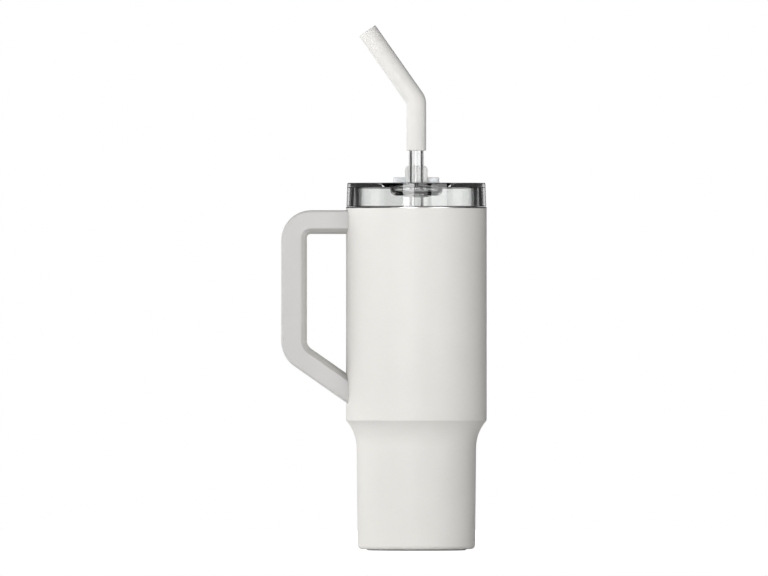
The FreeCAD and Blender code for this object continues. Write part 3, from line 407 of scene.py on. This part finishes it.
def build_liner(bm):
    outside = wall - steel
    turned(bm, rounded([
        (0, liner_low.z),
        (base_radius - outside, liner_low.z, 6.8 * MM),
        waist_corner(outside, 19.2 * MM),
        step_corner(outside, 3.8 * MM),
        (body_radius - outside, rim_under, steel),
        (body_radius - 0.02 * MM, rim_under),
        (body_radius - 0.02 * MM, rim_top, 0.35 * MM),
        (body_radius - wall, rim_top, 1.6 * MM),
        step_corner(wall, 3.0 * MM),
        waist_corner(wall, 20.0 * MM),
        (base_radius - wall, liner_low.z + steel, 6.0 * MM),
        (0, liner_low.z + steel),
    ]), 288)


def build_pad(bm):
    """The pad's underside has a ring groove, and fine ribs that grip."""
    outline = [(0, 0)]
    for start in (6.0, 9.0, 12.0, 15.0, 18.0):
        outline += [(start * MM, 0, 0.1 * MM), ((start + 0.15) * MM, 0.25 * MM, 0.1 * MM),
                    ((start + 0.85) * MM, 0.25 * MM, 0.1 * MM), ((start + 1.0) * MM, 0, 0.1 * MM)]
    outline += [(24.0 * MM, 0, 0.1 * MM), (24.0 * MM, 0.5 * MM, 0.2 * MM),
                (25.6 * MM, 0.5 * MM, 0.2 * MM), (25.6 * MM, 0, 0.1 * MM)]
    outline += [(pad_high.x, 0, 0.4 * MM), (pad_high.x, pad_high.z), (0, pad_high.z)]
    turned(bm, rounded(outline), 192)


piece("shell_coated", build_shell, looks["powder_coat"], "cup", ["outer_shell"])
piece("liner_turned", build_liner, looks["liner_steel"], "cup", ["inner_liner"])
piece("pad_ribbed", build_pad, looks["pad_silicone"], "cup", ["base_pad"])


# The handle: a section with soft edges carried along its outline

handle_left = frame_low.x
handle_top = frame_high.z
half_wide = frame_high.y
leg_inner = handle_left + 17.4 * MM
arm_under = handle_top - 16.1 * MM
brace_slope = math.tan(math.radians(35.0))
brace_lean = math.cos(math.radians(35.0))
brace_thick = 16.3 * MM
brace_level = 120.4 * MM
outer_edge = 2.0 * MM
bevel_deep = 3.8 * MM
bevel_start = 4.3 * MM
lip = 0.15 * MM
half_channel = 7.4 * MM
handle_wall = 2.6 * MM
fit = 0.15 * MM
CORNER_STEPS = 16
RUN_STEPS = 8


def brace_height(x, deeper):
    return brace_level - (body_radius + x) * brace_slope - deeper / brace_lean


def handle_line(outer, depth, y):
    """Points along the handle, a depth under its outer or its finger side, in the plane at y."""
    end = -math.sqrt((body_radius + fit) ** 2 - y * y)
    if outer:
        line = brace_thick - depth
        corners = [(handle_left + depth, handle_top - depth, 20.4 * MM - depth),
                   (handle_left + depth, brace_height(handle_left + depth, line), 21.0 * MM - depth)]
        ends = [(end, handle_top - depth), (end, brace_height(end, line))]
    else:
        corners = [(leg_inner - depth, arm_under + depth, 2.5 * MM + depth),
                   (leg_inner - depth, brace_height(leg_inner - depth, depth), 6.5 * MM + depth)]
        ends = [(end, arm_under + depth), (end, brace_height(end, depth))]
    stretch = [Vector(ends[0])]
    for i, (x, z, radius) in enumerate(corners):
        here = Vector((x, z))
        before = Vector(ends[0]) if i == 0 else Vector(corners[0][:2])
        after = Vector(ends[1]) if i == 1 else Vector(corners[1][:2])
        back = (before - here).normalized()
        onward = (after - here).normalized()
        half = back.angle(onward) / 2
        centre = here + (back + onward).normalized() * (radius / math.sin(half))
        start = here + back * (radius / math.tan(half)) - centre
        sweep = math.pi - 2 * half
        if back.cross(onward) > 0:
            sweep = -sweep
        arc = [centre + Matrix.Rotation(sweep * k / CORNER_STEPS, 2) @ start
               for k in range(CORNER_STEPS + 1)]
        run_start = stretch[-1]
        stretch += [run_start.lerp(arc[0], k / RUN_STEPS) for k in range(1, RUN_STEPS)]
        stretch += arc
    run_start = stretch[-1]
    stretch += [run_start.lerp(Vector(ends[1]), k / RUN_STEPS) for k in range(1, RUN_STEPS + 1)]
    return [Vector((p.x, y, p.y)) for p in stretch]


def edge_arc(radius, steps):
    """(inset from the side, depth) pairs round an edge, from the flat face to the side."""
    angles = [math.pi / 2 * k / steps for k in range(steps + 1)]
    return [(radius * (1 - math.sin(a)), radius * (1 - math.cos(a))) for a in angles]


def bevel_depth(y):
    """Depth of the finger side's soft bevel, which falls away from the handle's middle."""
    return max(0.0, (y - bevel_start) / (half_wide - bevel_start)) * bevel_deep


def frame_section():
    """The C-shaped section of the hard frame as (on the outer side, depth, y), for y >= 0."""
    section = [(True, 0.0, 3.5 * MM), (True, 0.0, 7.0 * MM)]
    section += [(True, depth, half_wide - inset) for inset, depth in edge_arc(outer_edge, 7)]
    bevel = [(depth, y) for y, depth in rounded([
        (half_wide, 8.0 * MM),
        (half_wide, bevel_deep, 1.4 * MM),
        (half_channel, bevel_depth(half_channel), lip),
        (half_channel, 3.5 * MM),
    ], turn=8)[1:-1]]
    section += [(False, depth, y) for depth, y in bevel]
    section += [(False, 2.0 * MM, half_channel), (True, handle_wall, half_channel)]
    section += [(True, handle_wall, 3.5 * MM)]
    return section


def sweep_section(bm, section):
    """Carry a closed section along the handle and close its ends."""
    lines = [handle_line(outer, depth, y) for outer, depth, y in section]
    stations = [list(loop) for loop in zip(*lines)]
    rings = [[bm.verts.new(point) for point in loop] for loop in stations]
    count = len(section)
    for first, second in zip(rings, rings[1:]):
        for k in range(count):
            n = (k + 1) % count
            bm.faces.new([first[k], first[n], second[n], second[k]])
    return rings


def build_handle_frame(bm):
    half = frame_section()
    section = [(True, 0.0, 0.0)] + half + [(True, handle_wall, 0.0)]
    section += [(outer, depth, -y) for outer, depth, y in reversed(half)]
    rings = sweep_section(bm, section)
    middle = len(half) + 1
    bm.faces.new(rings[0][:middle + 1])
    bm.faces.new(rings[0][middle:] + rings[0][:1])
    bm.faces.new(rings[-1][:middle + 1][::-1])
    bm.faces.new((rings[-1][middle:] + rings[-1][:1])[::-1])


def build_handle_cover(bm):
    """The crowned strip that closes the channel, with eased edges."""
    half = half_channel - fit
    thick = 2.4 * MM
    profile = rounded([(0.0, thick), (half, thick), (half, bevel_depth(half), 0.3 * MM),
                       (bevel_start, 0.0, 3.0 * MM), (0.0, 0.0)], turn=8)
    section = [(False, depth, y) for y, depth in profile]
    mirrored = [(outer, depth, -y) for outer, depth, y in reversed(section[1:-1])]
    rings = sweep_section(bm, section + mirrored)
    bm.faces.new(rings[0])
    bm.faces.new(rings[-1][::-1])


piece("handle_bar_textured", build_handle_frame, looks["handle_plastic"], "cup",
      ["handle_frame"])
piece("handle_grip_strip", build_handle_cover, looks["handle_soft"], "cup", ["handle_cover"])


# The lid: one clear moulding, with the sip seat and the flip cap on it

lid_under = rim_top + 0.3 * MM
plate_low = lid_top - 3.0 * MM
plug_under = lid_low.z
plug_outer = body_radius - wall - 1.6 * MM
plug_inner = plug_outer - 2.2 * MM
groove_radius = plug_outer - 1.2 * MM
skirt_clear = 0.8 * MM
skirt_flare = 0.6 * MM
lid_edge = 0.7 * MM
well_radius = 15.6 * MM
well_wall = 2.2 * MM
well_floor = lid_top - 6.4 * MM
well_under = well_floor - well_wall
grommet_neck = 7.2 * MM
pin_middle = (pin_low + pin_high) / 2
pin_radius = pin_high.z - pin_middle.z
knuckle_half = 3.7 * MM
side_gap = 0.3 * MM
seat_front = seat_low.y + 0.5 * MM
slot_middle = seat_front + 4.1 * MM
slot_wide = 11.0 * MM
slot_deep = 5.0 * MM
neck_wide = 14.6 * MM
neck_deep = 6.8 * MM
seal_fit = 0.05 * MM
cut_low = plate_low - 3 * MM
cut_high = lid_top + 3 * MM


def build_lid(bm):
    lid_low_radius = lid_high.x
    lid_top_radius = lid_high.x - skirt_flare
    groove_low = plug_under + 4.0 * MM
    groove_high = groove_low + 6.0 * MM
    skirt_inner = plug_outer + skirt_clear
    well_outer = well_radius + well_wall
    flare = (plate_low - well_under - 3.8 * MM) * 0.9
    turned(bm, rounded([
        (grommet_neck, well_under, 0.15 * MM),
        (well_outer, well_under, 3.8 * MM),
        (well_outer, plate_low, flare),
        (plug_inner, plate_low, lid_edge),
        (plug_inner, plug_under, lid_edge),
        (plug_outer, plug_under, lid_edge),
        (plug_outer, groove_low, 0.15 * MM),
        (groove_radius, groove_low, 0.15 * MM),
        (groove_radius, groove_high, 0.15 * MM),
        (plug_outer, groove_high, 0.15 * MM),
        (plug_outer, plate_low, skirt_clear * 0.4),
        (skirt_inner, plate_low, skirt_clear * 0.4),
        (skirt_inner + skirt_flare, lid_under, lid_edge / 2),
        (lid_low_radius, lid_under, lid_edge / 2),
        (lid_top_radius, lid_top, lid_edge),
        (well_radius, lid_top, 4.0 * MM),
        (well_radius, well_floor, 2.16 * MM),
        (grommet_neck, well_floor, 0.15 * MM),
    ], turn=10), 256)


def slot_loop(wide, deep, middle, level, round_share=0.49, steps=10):
    """A closed loop in a level plane: a slot with round ends."""
    radius = min(wide, deep) * round_share
    corners = [(-wide / 2, middle - deep / 2, radius), (wide / 2, middle - deep / 2, radius),
               (wide / 2, middle + deep / 2, radius), (-wide / 2, middle + deep / 2, radius)]
    return [Vector((x, y, level)) for x, y in rounded(corners, turn=90 / steps + 0.01, chord=1.0)]


def build_seat_hole(bm):
    hole_wide = neck_wide + 0.3 * MM
    hole_deep = neck_deep + 0.3 * MM
    lofted(bm, [slot_loop(hole_wide, hole_deep, slot_middle, z) for z in (cut_low, cut_high)])


def build_vent(bm):
    radius = 1.0 * MM
    out = 30 * MM
    angles = [2 * math.pi * k / 32 for k in range(32)]
    lofted(bm, [[Vector((radius * math.cos(a), -out + radius * math.sin(a), z)) for a in angles]
                for z in (cut_low, cut_high)])


def lug_loop(x):
    """A hinge lug seen from its side: straight below, round above."""
    radius = 1.9 * MM
    middle, level = pin_middle.y, pin_middle.z
    low = lid_top - 1.5 * MM
    points = [(middle - radius, low), (middle + radius, low)]
    points += [(middle + radius * math.cos(a), level + radius * math.sin(a))
               for a in (math.pi * k / 20 for k in range(21))]
    return [Vector((x, y, z)) for y, z in points]


def build_lug(side):
    inner = side * (knuckle_half + side_gap)
    outer = inner + side * 2.2 * MM
    return lambda bm: lofted(bm, [lug_loop(inner), lug_loop(outer)])


def build_pin_bore(bm):
    loops = [[Vector((x, pin_middle.y + pin_radius * math.cos(a), pin_middle.z + pin_radius * math.sin(a)))
              for a in (2 * math.pi * k / 40 for k in range(40))] for x in (-9 * MM, 9 * MM)]
    lofted(bm, loops)


def carve(item, tools):
    """Join tools to a mesh or cut them from it exactly, and keep only the result."""
    helpers = []
    for build, operation in tools:
        bm = bmesh.new()
        build(bm)
        bmesh.ops.recalc_face_normals(bm, faces=bm.faces)
        mesh = bpy.data.meshes.new("tool")
        bm.to_mesh(mesh)
        bm.free()
        helper = bpy.data.objects.new("tool", mesh)
        scene.collection.objects.link(helper)
        helpers.append(helper)
        step = item.modifiers.new(operation, "BOOLEAN")
        step.operation = operation
        step.solver = "EXACT"
        step.object = helper
    weighted = item.modifiers.get("weighted")
    if weighted:
        item.modifiers.remove(weighted)
    bpy.context.view_layer.update()
    shape = item.evaluated_get(bpy.context.evaluated_depsgraph_get())
    mesh = bpy.data.meshes.new_from_object(shape)
    item.modifiers.clear()
    item.data = mesh
    for helper in helpers:
        bpy.data.objects.remove(helper)
    mesh.shade_smooth()
    mesh.set_sharp_from_angle(angle=math.radians(32))
    item.modifiers.new("weighted", "WEIGHTED_NORMAL").keep_sharp = True


lid = piece("lid_moulding", build_lid, looks["clear_plastic"], "lid", ["lid_shell"])
carve(lid, [(build_lug(1), "UNION"), (build_lug(-1), "UNION"), (build_pin_bore, "DIFFERENCE"),
            (build_seat_hole, "DIFFERENCE"), (build_vent, "DIFFERENCE")])


def seat_loop(grow, level):
    """The sip seat's outline at a level, grown or shrunk all round."""
    wide = seat_high.x * 2 + grow * 2
    deep = seat_high.y - seat_front + grow * 2
    middle = (seat_high.y + seat_front) / 2
    return slot_loop(wide, deep, middle, level, (2.5 * MM + grow) / deep)


def seat_slot(grow, level):
    return slot_loop(slot_wide + grow * 2, slot_deep + grow * 2, slot_middle, level)


def build_seat(bm):
    """The soft seat: a pillow-edged block round a flared slot, with its neck through the lid."""
    under = lid_top + seal_fit
    top = seat_high.z
    low = seat_low.z
    lip_top = plate_low - seal_fit * 2
    lip_grow = 2.4 * MM
    pillow = 0.8 * MM
    flare = 0.6 * MM
    loops = []
    for a in range(0, 91, 15):
        turn = math.radians(a)
        loops.append(seat_loop(-pillow * (1 - math.cos(turn)), top - pillow * (1 - math.sin(turn))))
    for a in range(90, -1, -15):
        turn = math.radians(a)
        loops.append(seat_slot(flare * (1 - math.cos(turn)), top - flare * (1 - math.sin(turn))))
    loops += [seat_slot(0, top - 2 * MM), seat_slot(0, low)]
    loops += [slot_loop(neck_wide + lip_grow, neck_deep + lip_grow, slot_middle, z) for z in (low, lip_top)]
    loops += [slot_loop(neck_wide, neck_deep, slot_middle, z) for z in (lip_top, under)]
    loops.append(seat_loop(0, under))
    lofted(bm, loops, closed=True)


piece("sip_seat_soft", build_seat, looks["white_silicone"], "lid", ["sip_seat"])


# The soft rings and the plug

ring_low, ring_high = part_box("lid_gasket")
grip_low, grip_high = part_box("straw_grommet")
cap_thick = 2.4 * MM


def build_gasket(bm):
    """A ring with two thin drooping fins that wipe the mouth."""
    inner = groove_radius + seal_fit
    low, high = ring_low.z, ring_high.z
    web = plug_outer + 0.48 * MM
    fin = ring_high.x
    droop = 0.44 * MM
    thick = 1.1 * MM
    turned(bm, rounded([
        (inner, low, 0.2 * MM),
        (web, low, 0.5 * MM),
        (fin, low + droop, 0.35 * MM),
        (fin, low + droop + thick, 0.35 * MM),
        (web, low + thick * 1.2, 0.5 * MM),
        (web, high - thick * 1.2, 0.5 * MM),
        (fin, high - droop - thick, 0.35 * MM),
        (fin, high - droop, 0.35 * MM),
        (web, high, 0.5 * MM),
        (inner, high, 0.2 * MM),
    ], turn=12), 224)


def build_grommet(bm):
    """Two soft flanges on a neck, with a lead-in round the straw."""
    bore = 5.08 * MM
    neck = grommet_neck - seal_fit
    lower_flange = 8.4 * MM
    turned(bm, rounded([
        (bore, grip_low.z, 0.3 * MM),
        (lower_flange, grip_low.z, 0.35 * MM),
        (lower_flange, well_under - seal_fit, 0.3 * MM),
        (neck, well_under - seal_fit),
        (neck, well_floor + seal_fit),
        (grip_high.x, well_floor + seal_fit, 0.2 * MM),
        (grip_high.x, grip_high.z, 0.7 * MM),
        (bore, grip_high.z, 0.55 * MM),
    ], turn=12), 128)


def upright_slot(wide, tall, level, y):
    """A slot with round ends, upright in the plane at y."""
    return [Vector((p.x, y, p.y)) for p in slot_loop(wide, tall, level, 0.0, steps=8)]


def build_plug(bm):
    """The plug: a key inside the cap, a thin flange, and a stem with a soft nose."""
    level = (plug_low.z + plug_high.z) / 2
    key_wide, key_tall = 5.95 * MM, 2.4 * MM
    flange_wide, flange_tall = plug_high.x * 2, plug_high.z - plug_low.z
    stem_wide, stem_tall = 10.4 * MM, 4.3 * MM
    back = cap_low.y + cap_thick
    flange_thick = 0.5 * MM
    nose = 0.5 * MM
    tip = plug_high.y
    loops = [upright_slot(key_wide, key_tall, level, y) for y in (plug_low.y, back)]
    loops.append(upright_slot(flange_wide, flange_tall, level, back))
    for a in range(0, 91, 18):
        turn = math.radians(a)
        inset = flange_thick * 0.6 * (1 - math.cos(turn))
        loops.append(upright_slot(flange_wide - inset * 2, flange_tall - inset * 2, level,
                                  back + flange_thick * (0.4 + 0.6 * math.sin(turn))))
    loops.append(upright_slot(stem_wide, stem_tall, level, back + flange_thick))
    for a in range(0, 91, 15):
        turn = math.radians(a)
        inset = nose * (1 - math.cos(turn))
        loops.append(upright_slot(stem_wide - inset * 2, stem_tall - inset * 2, level,
                                  tip - nose * (1 - math.sin(turn))))
    lofted(bm, loops)


piece("lid_gasket_soft", build_gasket, looks["seal_silicone"], "lid", ["lid_gasket"])
piece("straw_grommet_soft", build_grommet, looks["seal_silicone"], "lid",
      ["straw_grommet"])
piece("cap_plug_soft", build_plug, looks["white_silicone"], "flip_cap", ["cap_plug"])


def cap_loop(grow, y):
    """The flip cap's outline, upright in the plane at y."""
    radius = max(3.0 * MM + grow, 0.4 * MM)
    left, right = cap_low.x - grow, cap_high.x + grow
    low, high = cap_low.z - grow, cap_high.z + grow
    corners = [(left, low, radius), (right, low, radius), (right, high, radius), (left, high, radius)]
    return [Vector((x, y, z)) for x, z in rounded(corners, turn=9.01, chord=1.0)]


def build_cap(bm):
    """The flip cap's tab: pillowed edges, and a shallow dish that a fingertip finds."""
    front, back = cap_low.y, cap_low.y + cap_thick
    edge = 0.7 * MM
    back_edge = 0.5 * MM
    loops = []
    for inset, depth in ((3.6, 0.22), (3.0, 0.2), (2.3, 0.12), (1.8, 0.03), (1.5, 0.0)):
        loops.append(cap_loop(-inset * MM * 0.98, front + depth * MM))
    for a in range(0, 91, 15):
        turn = math.radians(a)
        loops.append(cap_loop(-edge * (1 - math.sin(turn)), front + edge * (1 - math.cos(turn))))
    for a in range(90, -1, -18):
        turn = math.radians(a)
        loops.append(cap_loop(-back_edge * (1 - math.sin(turn)), back - back_edge * (1 - math.cos(turn))))
    lofted(bm, loops)


def bar_loop(points, x):
    return [Vector((x, y, z)) for y, z in points]


def build_knuckle(bm):
    """The knuckle: a barrel on a web that joins it to the tab's back."""
    radius = 2.0 * MM
    back = cap_low.y + 1.4 * MM
    middle, level = pin_middle.y, pin_middle.z
    points = [(back, level + radius), (back, level - radius)]
    points += [(middle + radius * math.sin(a), level - radius * math.cos(a))
               for a in (math.pi * k / 24 for k in range(25))]
    lofted(bm, [bar_loop(points, -knuckle_half), bar_loop(points, knuckle_half)])


def build_knuckle_bore(bm):
    radius = pin_radius + 0.06 * MM
    points = [(pin_middle.y + radius * math.cos(a), pin_middle.z + radius * math.sin(a))
              for a in (2 * math.pi * k / 40 for k in range(40))]
    lofted(bm, [bar_loop(points, -5 * MM), bar_loop(points, 5 * MM)])


cap = piece("flip_cap_tab", build_cap, looks["cap_plastic"], "flip_cap", ["flip_cap"])
carve(cap, [(build_knuckle, "UNION"), (build_knuckle_bore, "DIFFERENCE")])


# The straw and its bent mouthpiece

straw_radius = 5.0 * MM
straw_bore = 3.5 * MM


def build_straw(bm):
    edge = 0.39 * MM
    bead_radius = straw_high.x
    slope = bead_radius - straw_radius
    travel = 45.0 * MM
    stop = grip_low.z - travel - side_gap - slope / 2
    bead = 2.4 * MM
    turned(bm, rounded([
        (straw_bore, straw_low.z, edge),
        (straw_radius, straw_low.z, edge),
        (straw_radius, stop - bead - slope, 0.6 * MM),
        (bead_radius, stop - bead, 0.6 * MM),
        (bead_radius, stop, 0.4 * MM),
        (straw_radius, stop + slope / 2, 0.4 * MM),
        (straw_radius, straw_high.z, edge),
        (straw_bore, straw_high.z, edge),
    ]), 96)


mouth_radius = mouth_high.y
bend_radius = mouth_radius + 1.05 * MM
lean = math.radians(35.1)
bend_level = lid_top + 56.0 * MM
tip_long = 58.0 * MM
bend_reach = bend_radius * math.tan(lean / 2)
bend_start = bend_level - bend_reach
bend_long = bend_radius * lean


def bent_frame(level):
    """The mouthpiece's centre line: up, round the elbow, and straight on to the tip."""
    turn = min(max((level - bend_start) / bend_radius, 0.0), lean)
    centre = Vector((-bend_radius * (1 - math.cos(turn)), 0, bend_start + bend_radius * math.sin(turn)))
    along = Vector((-math.sin(turn), 0, math.cos(turn)))
    if level < bend_start:
        centre.z = level
    elif turn >= lean:
        centre += along * (level - bend_start - bend_long)
    return centre, Vector((along.z, 0, -along.x)), Vector((0, 1, 0))


def build_mouthpiece(bm):
    low = mouth_low.z
    tip = bend_start + bend_long + tip_long - bend_reach
    bore = 3.7 * MM
    sleeve = straw_radius + 0.08 * MM
    sleeve_top = straw_high.z + 0.3 * MM
    ease = 0.6 * MM
    bend = [bend_start + bend_long * k / 14 for k in range(15)]
    outline = rounded([
        (sleeve, low, 0.3 * MM),
        (mouth_radius, low, ease),
        (mouth_radius, tip, ease),
        (bore, tip, 0.3 * MM),
        (bore, sleeve_top),
        (sleeve, sleeve_top),
    ], turn=12)
    split = max(i for i, (r, s) in enumerate(outline) if r > mouth_radius - 1e-7 and s < bend_start)
    outline[split + 1:split + 1] = [(mouth_radius, s) for s in bend]
    split = max(i for i, (r, s) in enumerate(outline) if abs(r - bore) < 1e-7 and s > bend[-1])
    outline[split + 1:split + 1] = [(bore, s) for s in reversed(bend)]
    turned(bm, outline, 96, bent_frame)


straw = piece("straw_clear", build_straw, looks["straw_plastic"], "straw", ["straw_tube"])
for clear_piece in (lid, straw):
    clear_piece.visible_shadow = False
piece("mouthpiece_soft", build_mouthpiece, looks["mouthpiece_silicone"], "mouthpiece",
      ["mouthpiece"])


# The stage: a pale floor, soft light, and a level camera

def area_light(name, azimuth, elevation, distance, wide, tall, radiance, mirrored=True):
    """A softbox facing the object; the azimuth is from the camera's side, positive to the right."""
    data = bpy.data.lights.new(name, "AREA")
    data.shape = "RECTANGLE"
    data.size = wide
    data.size_y = tall
    data.energy = radiance * wide * tall * math.pi
    item = bpy.data.objects.new(name, data)
    scene.collection.objects.link(item)
    around = math.radians(azimuth)
    up = math.radians(elevation)
    aim_at = Vector((0, 0, 0.15))
    item.location = aim_at + distance * Vector(
        (math.sin(around) * math.cos(up), -math.cos(around) * math.cos(up), math.sin(up)))
    item.rotation_euler = (aim_at - item.location).to_track_quat("-Z", "Y").to_euler()
    item.visible_camera = False
    item.visible_transmission = False
    item.visible_glossy = mirrored


area_light("key_strip", -13, 3, 1.6, 0.5, 1.5, 7.6)
area_light("left_wide", -98, 6, 1.4, 1.9, 1.3, 3.2, mirrored=False)
area_light("right_front", 38, 5, 1.5, 0.7, 1.2, 3.9)
area_light("back_wide", 180, 14, 1.5, 1.2, 1.0, 1.3, mirrored=False)


FLOOR_RADIUS = 1.2
FLOOR_DROP = 0.0002
PANEL_EDGE = (0.925, 0.945)
PANEL_BRIGHT = 0.95
FLOOR_DARK = 0.12
STUDIO_DARK = 0.03


def graph(tree):
    """Two helpers for a node tree: one adds a node and links or sets its inputs, one does a sum."""
    def add(kind, *sources, **values):
        node = tree.nodes.new(kind)
        for key, value in values.items():
            setattr(node, key, value)
        for i, source in enumerate(sources):
            if isinstance(source, (int, float)):
                node.inputs[i].default_value = source
            elif source is not None:
                tree.links.new(source, node.inputs[i])
        return node

    def maths(operation, *sources):
        return add("ShaderNodeMath", *sources, operation=operation).outputs[0]

    return add, maths


def make_floor():
    """Pale to the camera; the clear parts see it bright only in line with the panels."""
    mesh = bpy.data.meshes.new("floor")
    bm = bmesh.new()
    bmesh.ops.create_circle(bm, cap_ends=True, segments=128, radius=FLOOR_RADIUS)
    bm.to_mesh(mesh)
    bm.free()
    floor = bpy.data.objects.new("floor", mesh)
    scene.collection.objects.link(floor)
    floor.location.z = -FLOOR_DROP
    material = new_material("floor", (0.8, 0.8, 0.8), 0.9, Emission_Color=(1, 1, 1, 1))
    tree = material.node_tree
    shader = tree.nodes["Principled BSDF"]
    add, maths = graph(tree)
    path = add("ShaderNodeLightPath")
    glow = maths("MULTIPLY", path.outputs["Is Camera Ray"], 0.9)
    tree.links.new(glow, shader.inputs["Emission Strength"])
    place = add("ShaderNodeTexCoord")
    outward = add("ShaderNodeVectorMath", place.outputs["Object"], operation="NORMALIZE")
    size = add("ShaderNodeVectorMath", outward.outputs[0], operation="ABSOLUTE")
    x, y, z = add("ShaderNodeSeparateXYZ", size.outputs[0]).outputs
    panel = add("ShaderNodeMapRange", maths("MAXIMUM", x, y), *PANEL_EDGE, FLOOR_DARK, PANEL_BRIGHT)
    through = add("ShaderNodeEmission", None, panel.outputs[0])
    mixed = add("ShaderNodeMixShader", path.outputs["Is Transmission Ray"], shader.outputs[0],
                through.outputs[0])
    tree.links.new(mixed.outputs[0], tree.nodes["Material Output"].inputs["Surface"])
    material.cycles.emission_sampling = "NONE"
    mesh.materials.append(material)


def make_world():
    """White behind the object; the clear parts see one bright panel on each side, low down."""
    world = bpy.data.worlds.new("studio")
    scene.world = world
    world.use_nodes = True
    tree = world.node_tree
    tree.nodes.clear()
    add, maths = graph(tree)

    def background(level):
        node = add("ShaderNodeBackground")
        if isinstance(level, float):
            node.inputs["Color"].default_value = (level, level, level, 1)
        else:
            tree.links.new(level, node.inputs["Color"])
        return node.outputs[0]

    def fade(value, *limits):
        return add("ShaderNodeMapRange", value, *limits, interpolation_type="SMOOTHSTEP").outputs[0]

    path = add("ShaderNodeLightPath")
    place = add("ShaderNodeTexCoord")
    x, y, z = add("ShaderNodeSeparateXYZ", place.outputs["Generated"]).outputs
    nearest = maths("MAXIMUM", maths("ABSOLUTE", x), maths("ABSOLUTE", y))
    around = fade(nearest, *PANEL_EDGE, 0.0, 1.0)
    level = fade(maths("ABSOLUTE", z), 0.12, 0.22, 1.0, 0.0)
    panel = maths("MULTIPLY", around, level)
    clear = background(add("ShaderNodeMapRange", panel, 0.0, 1.0, STUDIO_DARK, PANEL_BRIGHT).outputs[0])
    soft = background(STUDIO_DARK)
    white = background(1.0)
    first = add("ShaderNodeMixShader", path.outputs["Is Transmission Ray"], soft, clear).outputs[0]
    second = add("ShaderNodeMixShader", path.outputs["Is Camera Ray"], first, white).outputs[0]
    add("ShaderNodeOutputWorld", second)


make_floor()
make_world()
scene.view_settings.view_transform = "Standard"

camera_data = bpy.data.cameras.new("camera")
camera_data.lens = 1000
camera_data.sensor_width = 36
camera_data.clip_end = 60
camera = bpy.data.objects.new("camera", camera_data)
scene.collection.objects.link(camera)
camera.location = (-0.0220, -14.5, 0.1782)
camera.rotation_euler = (math.radians(90), 0, 0)
scene.camera = camera
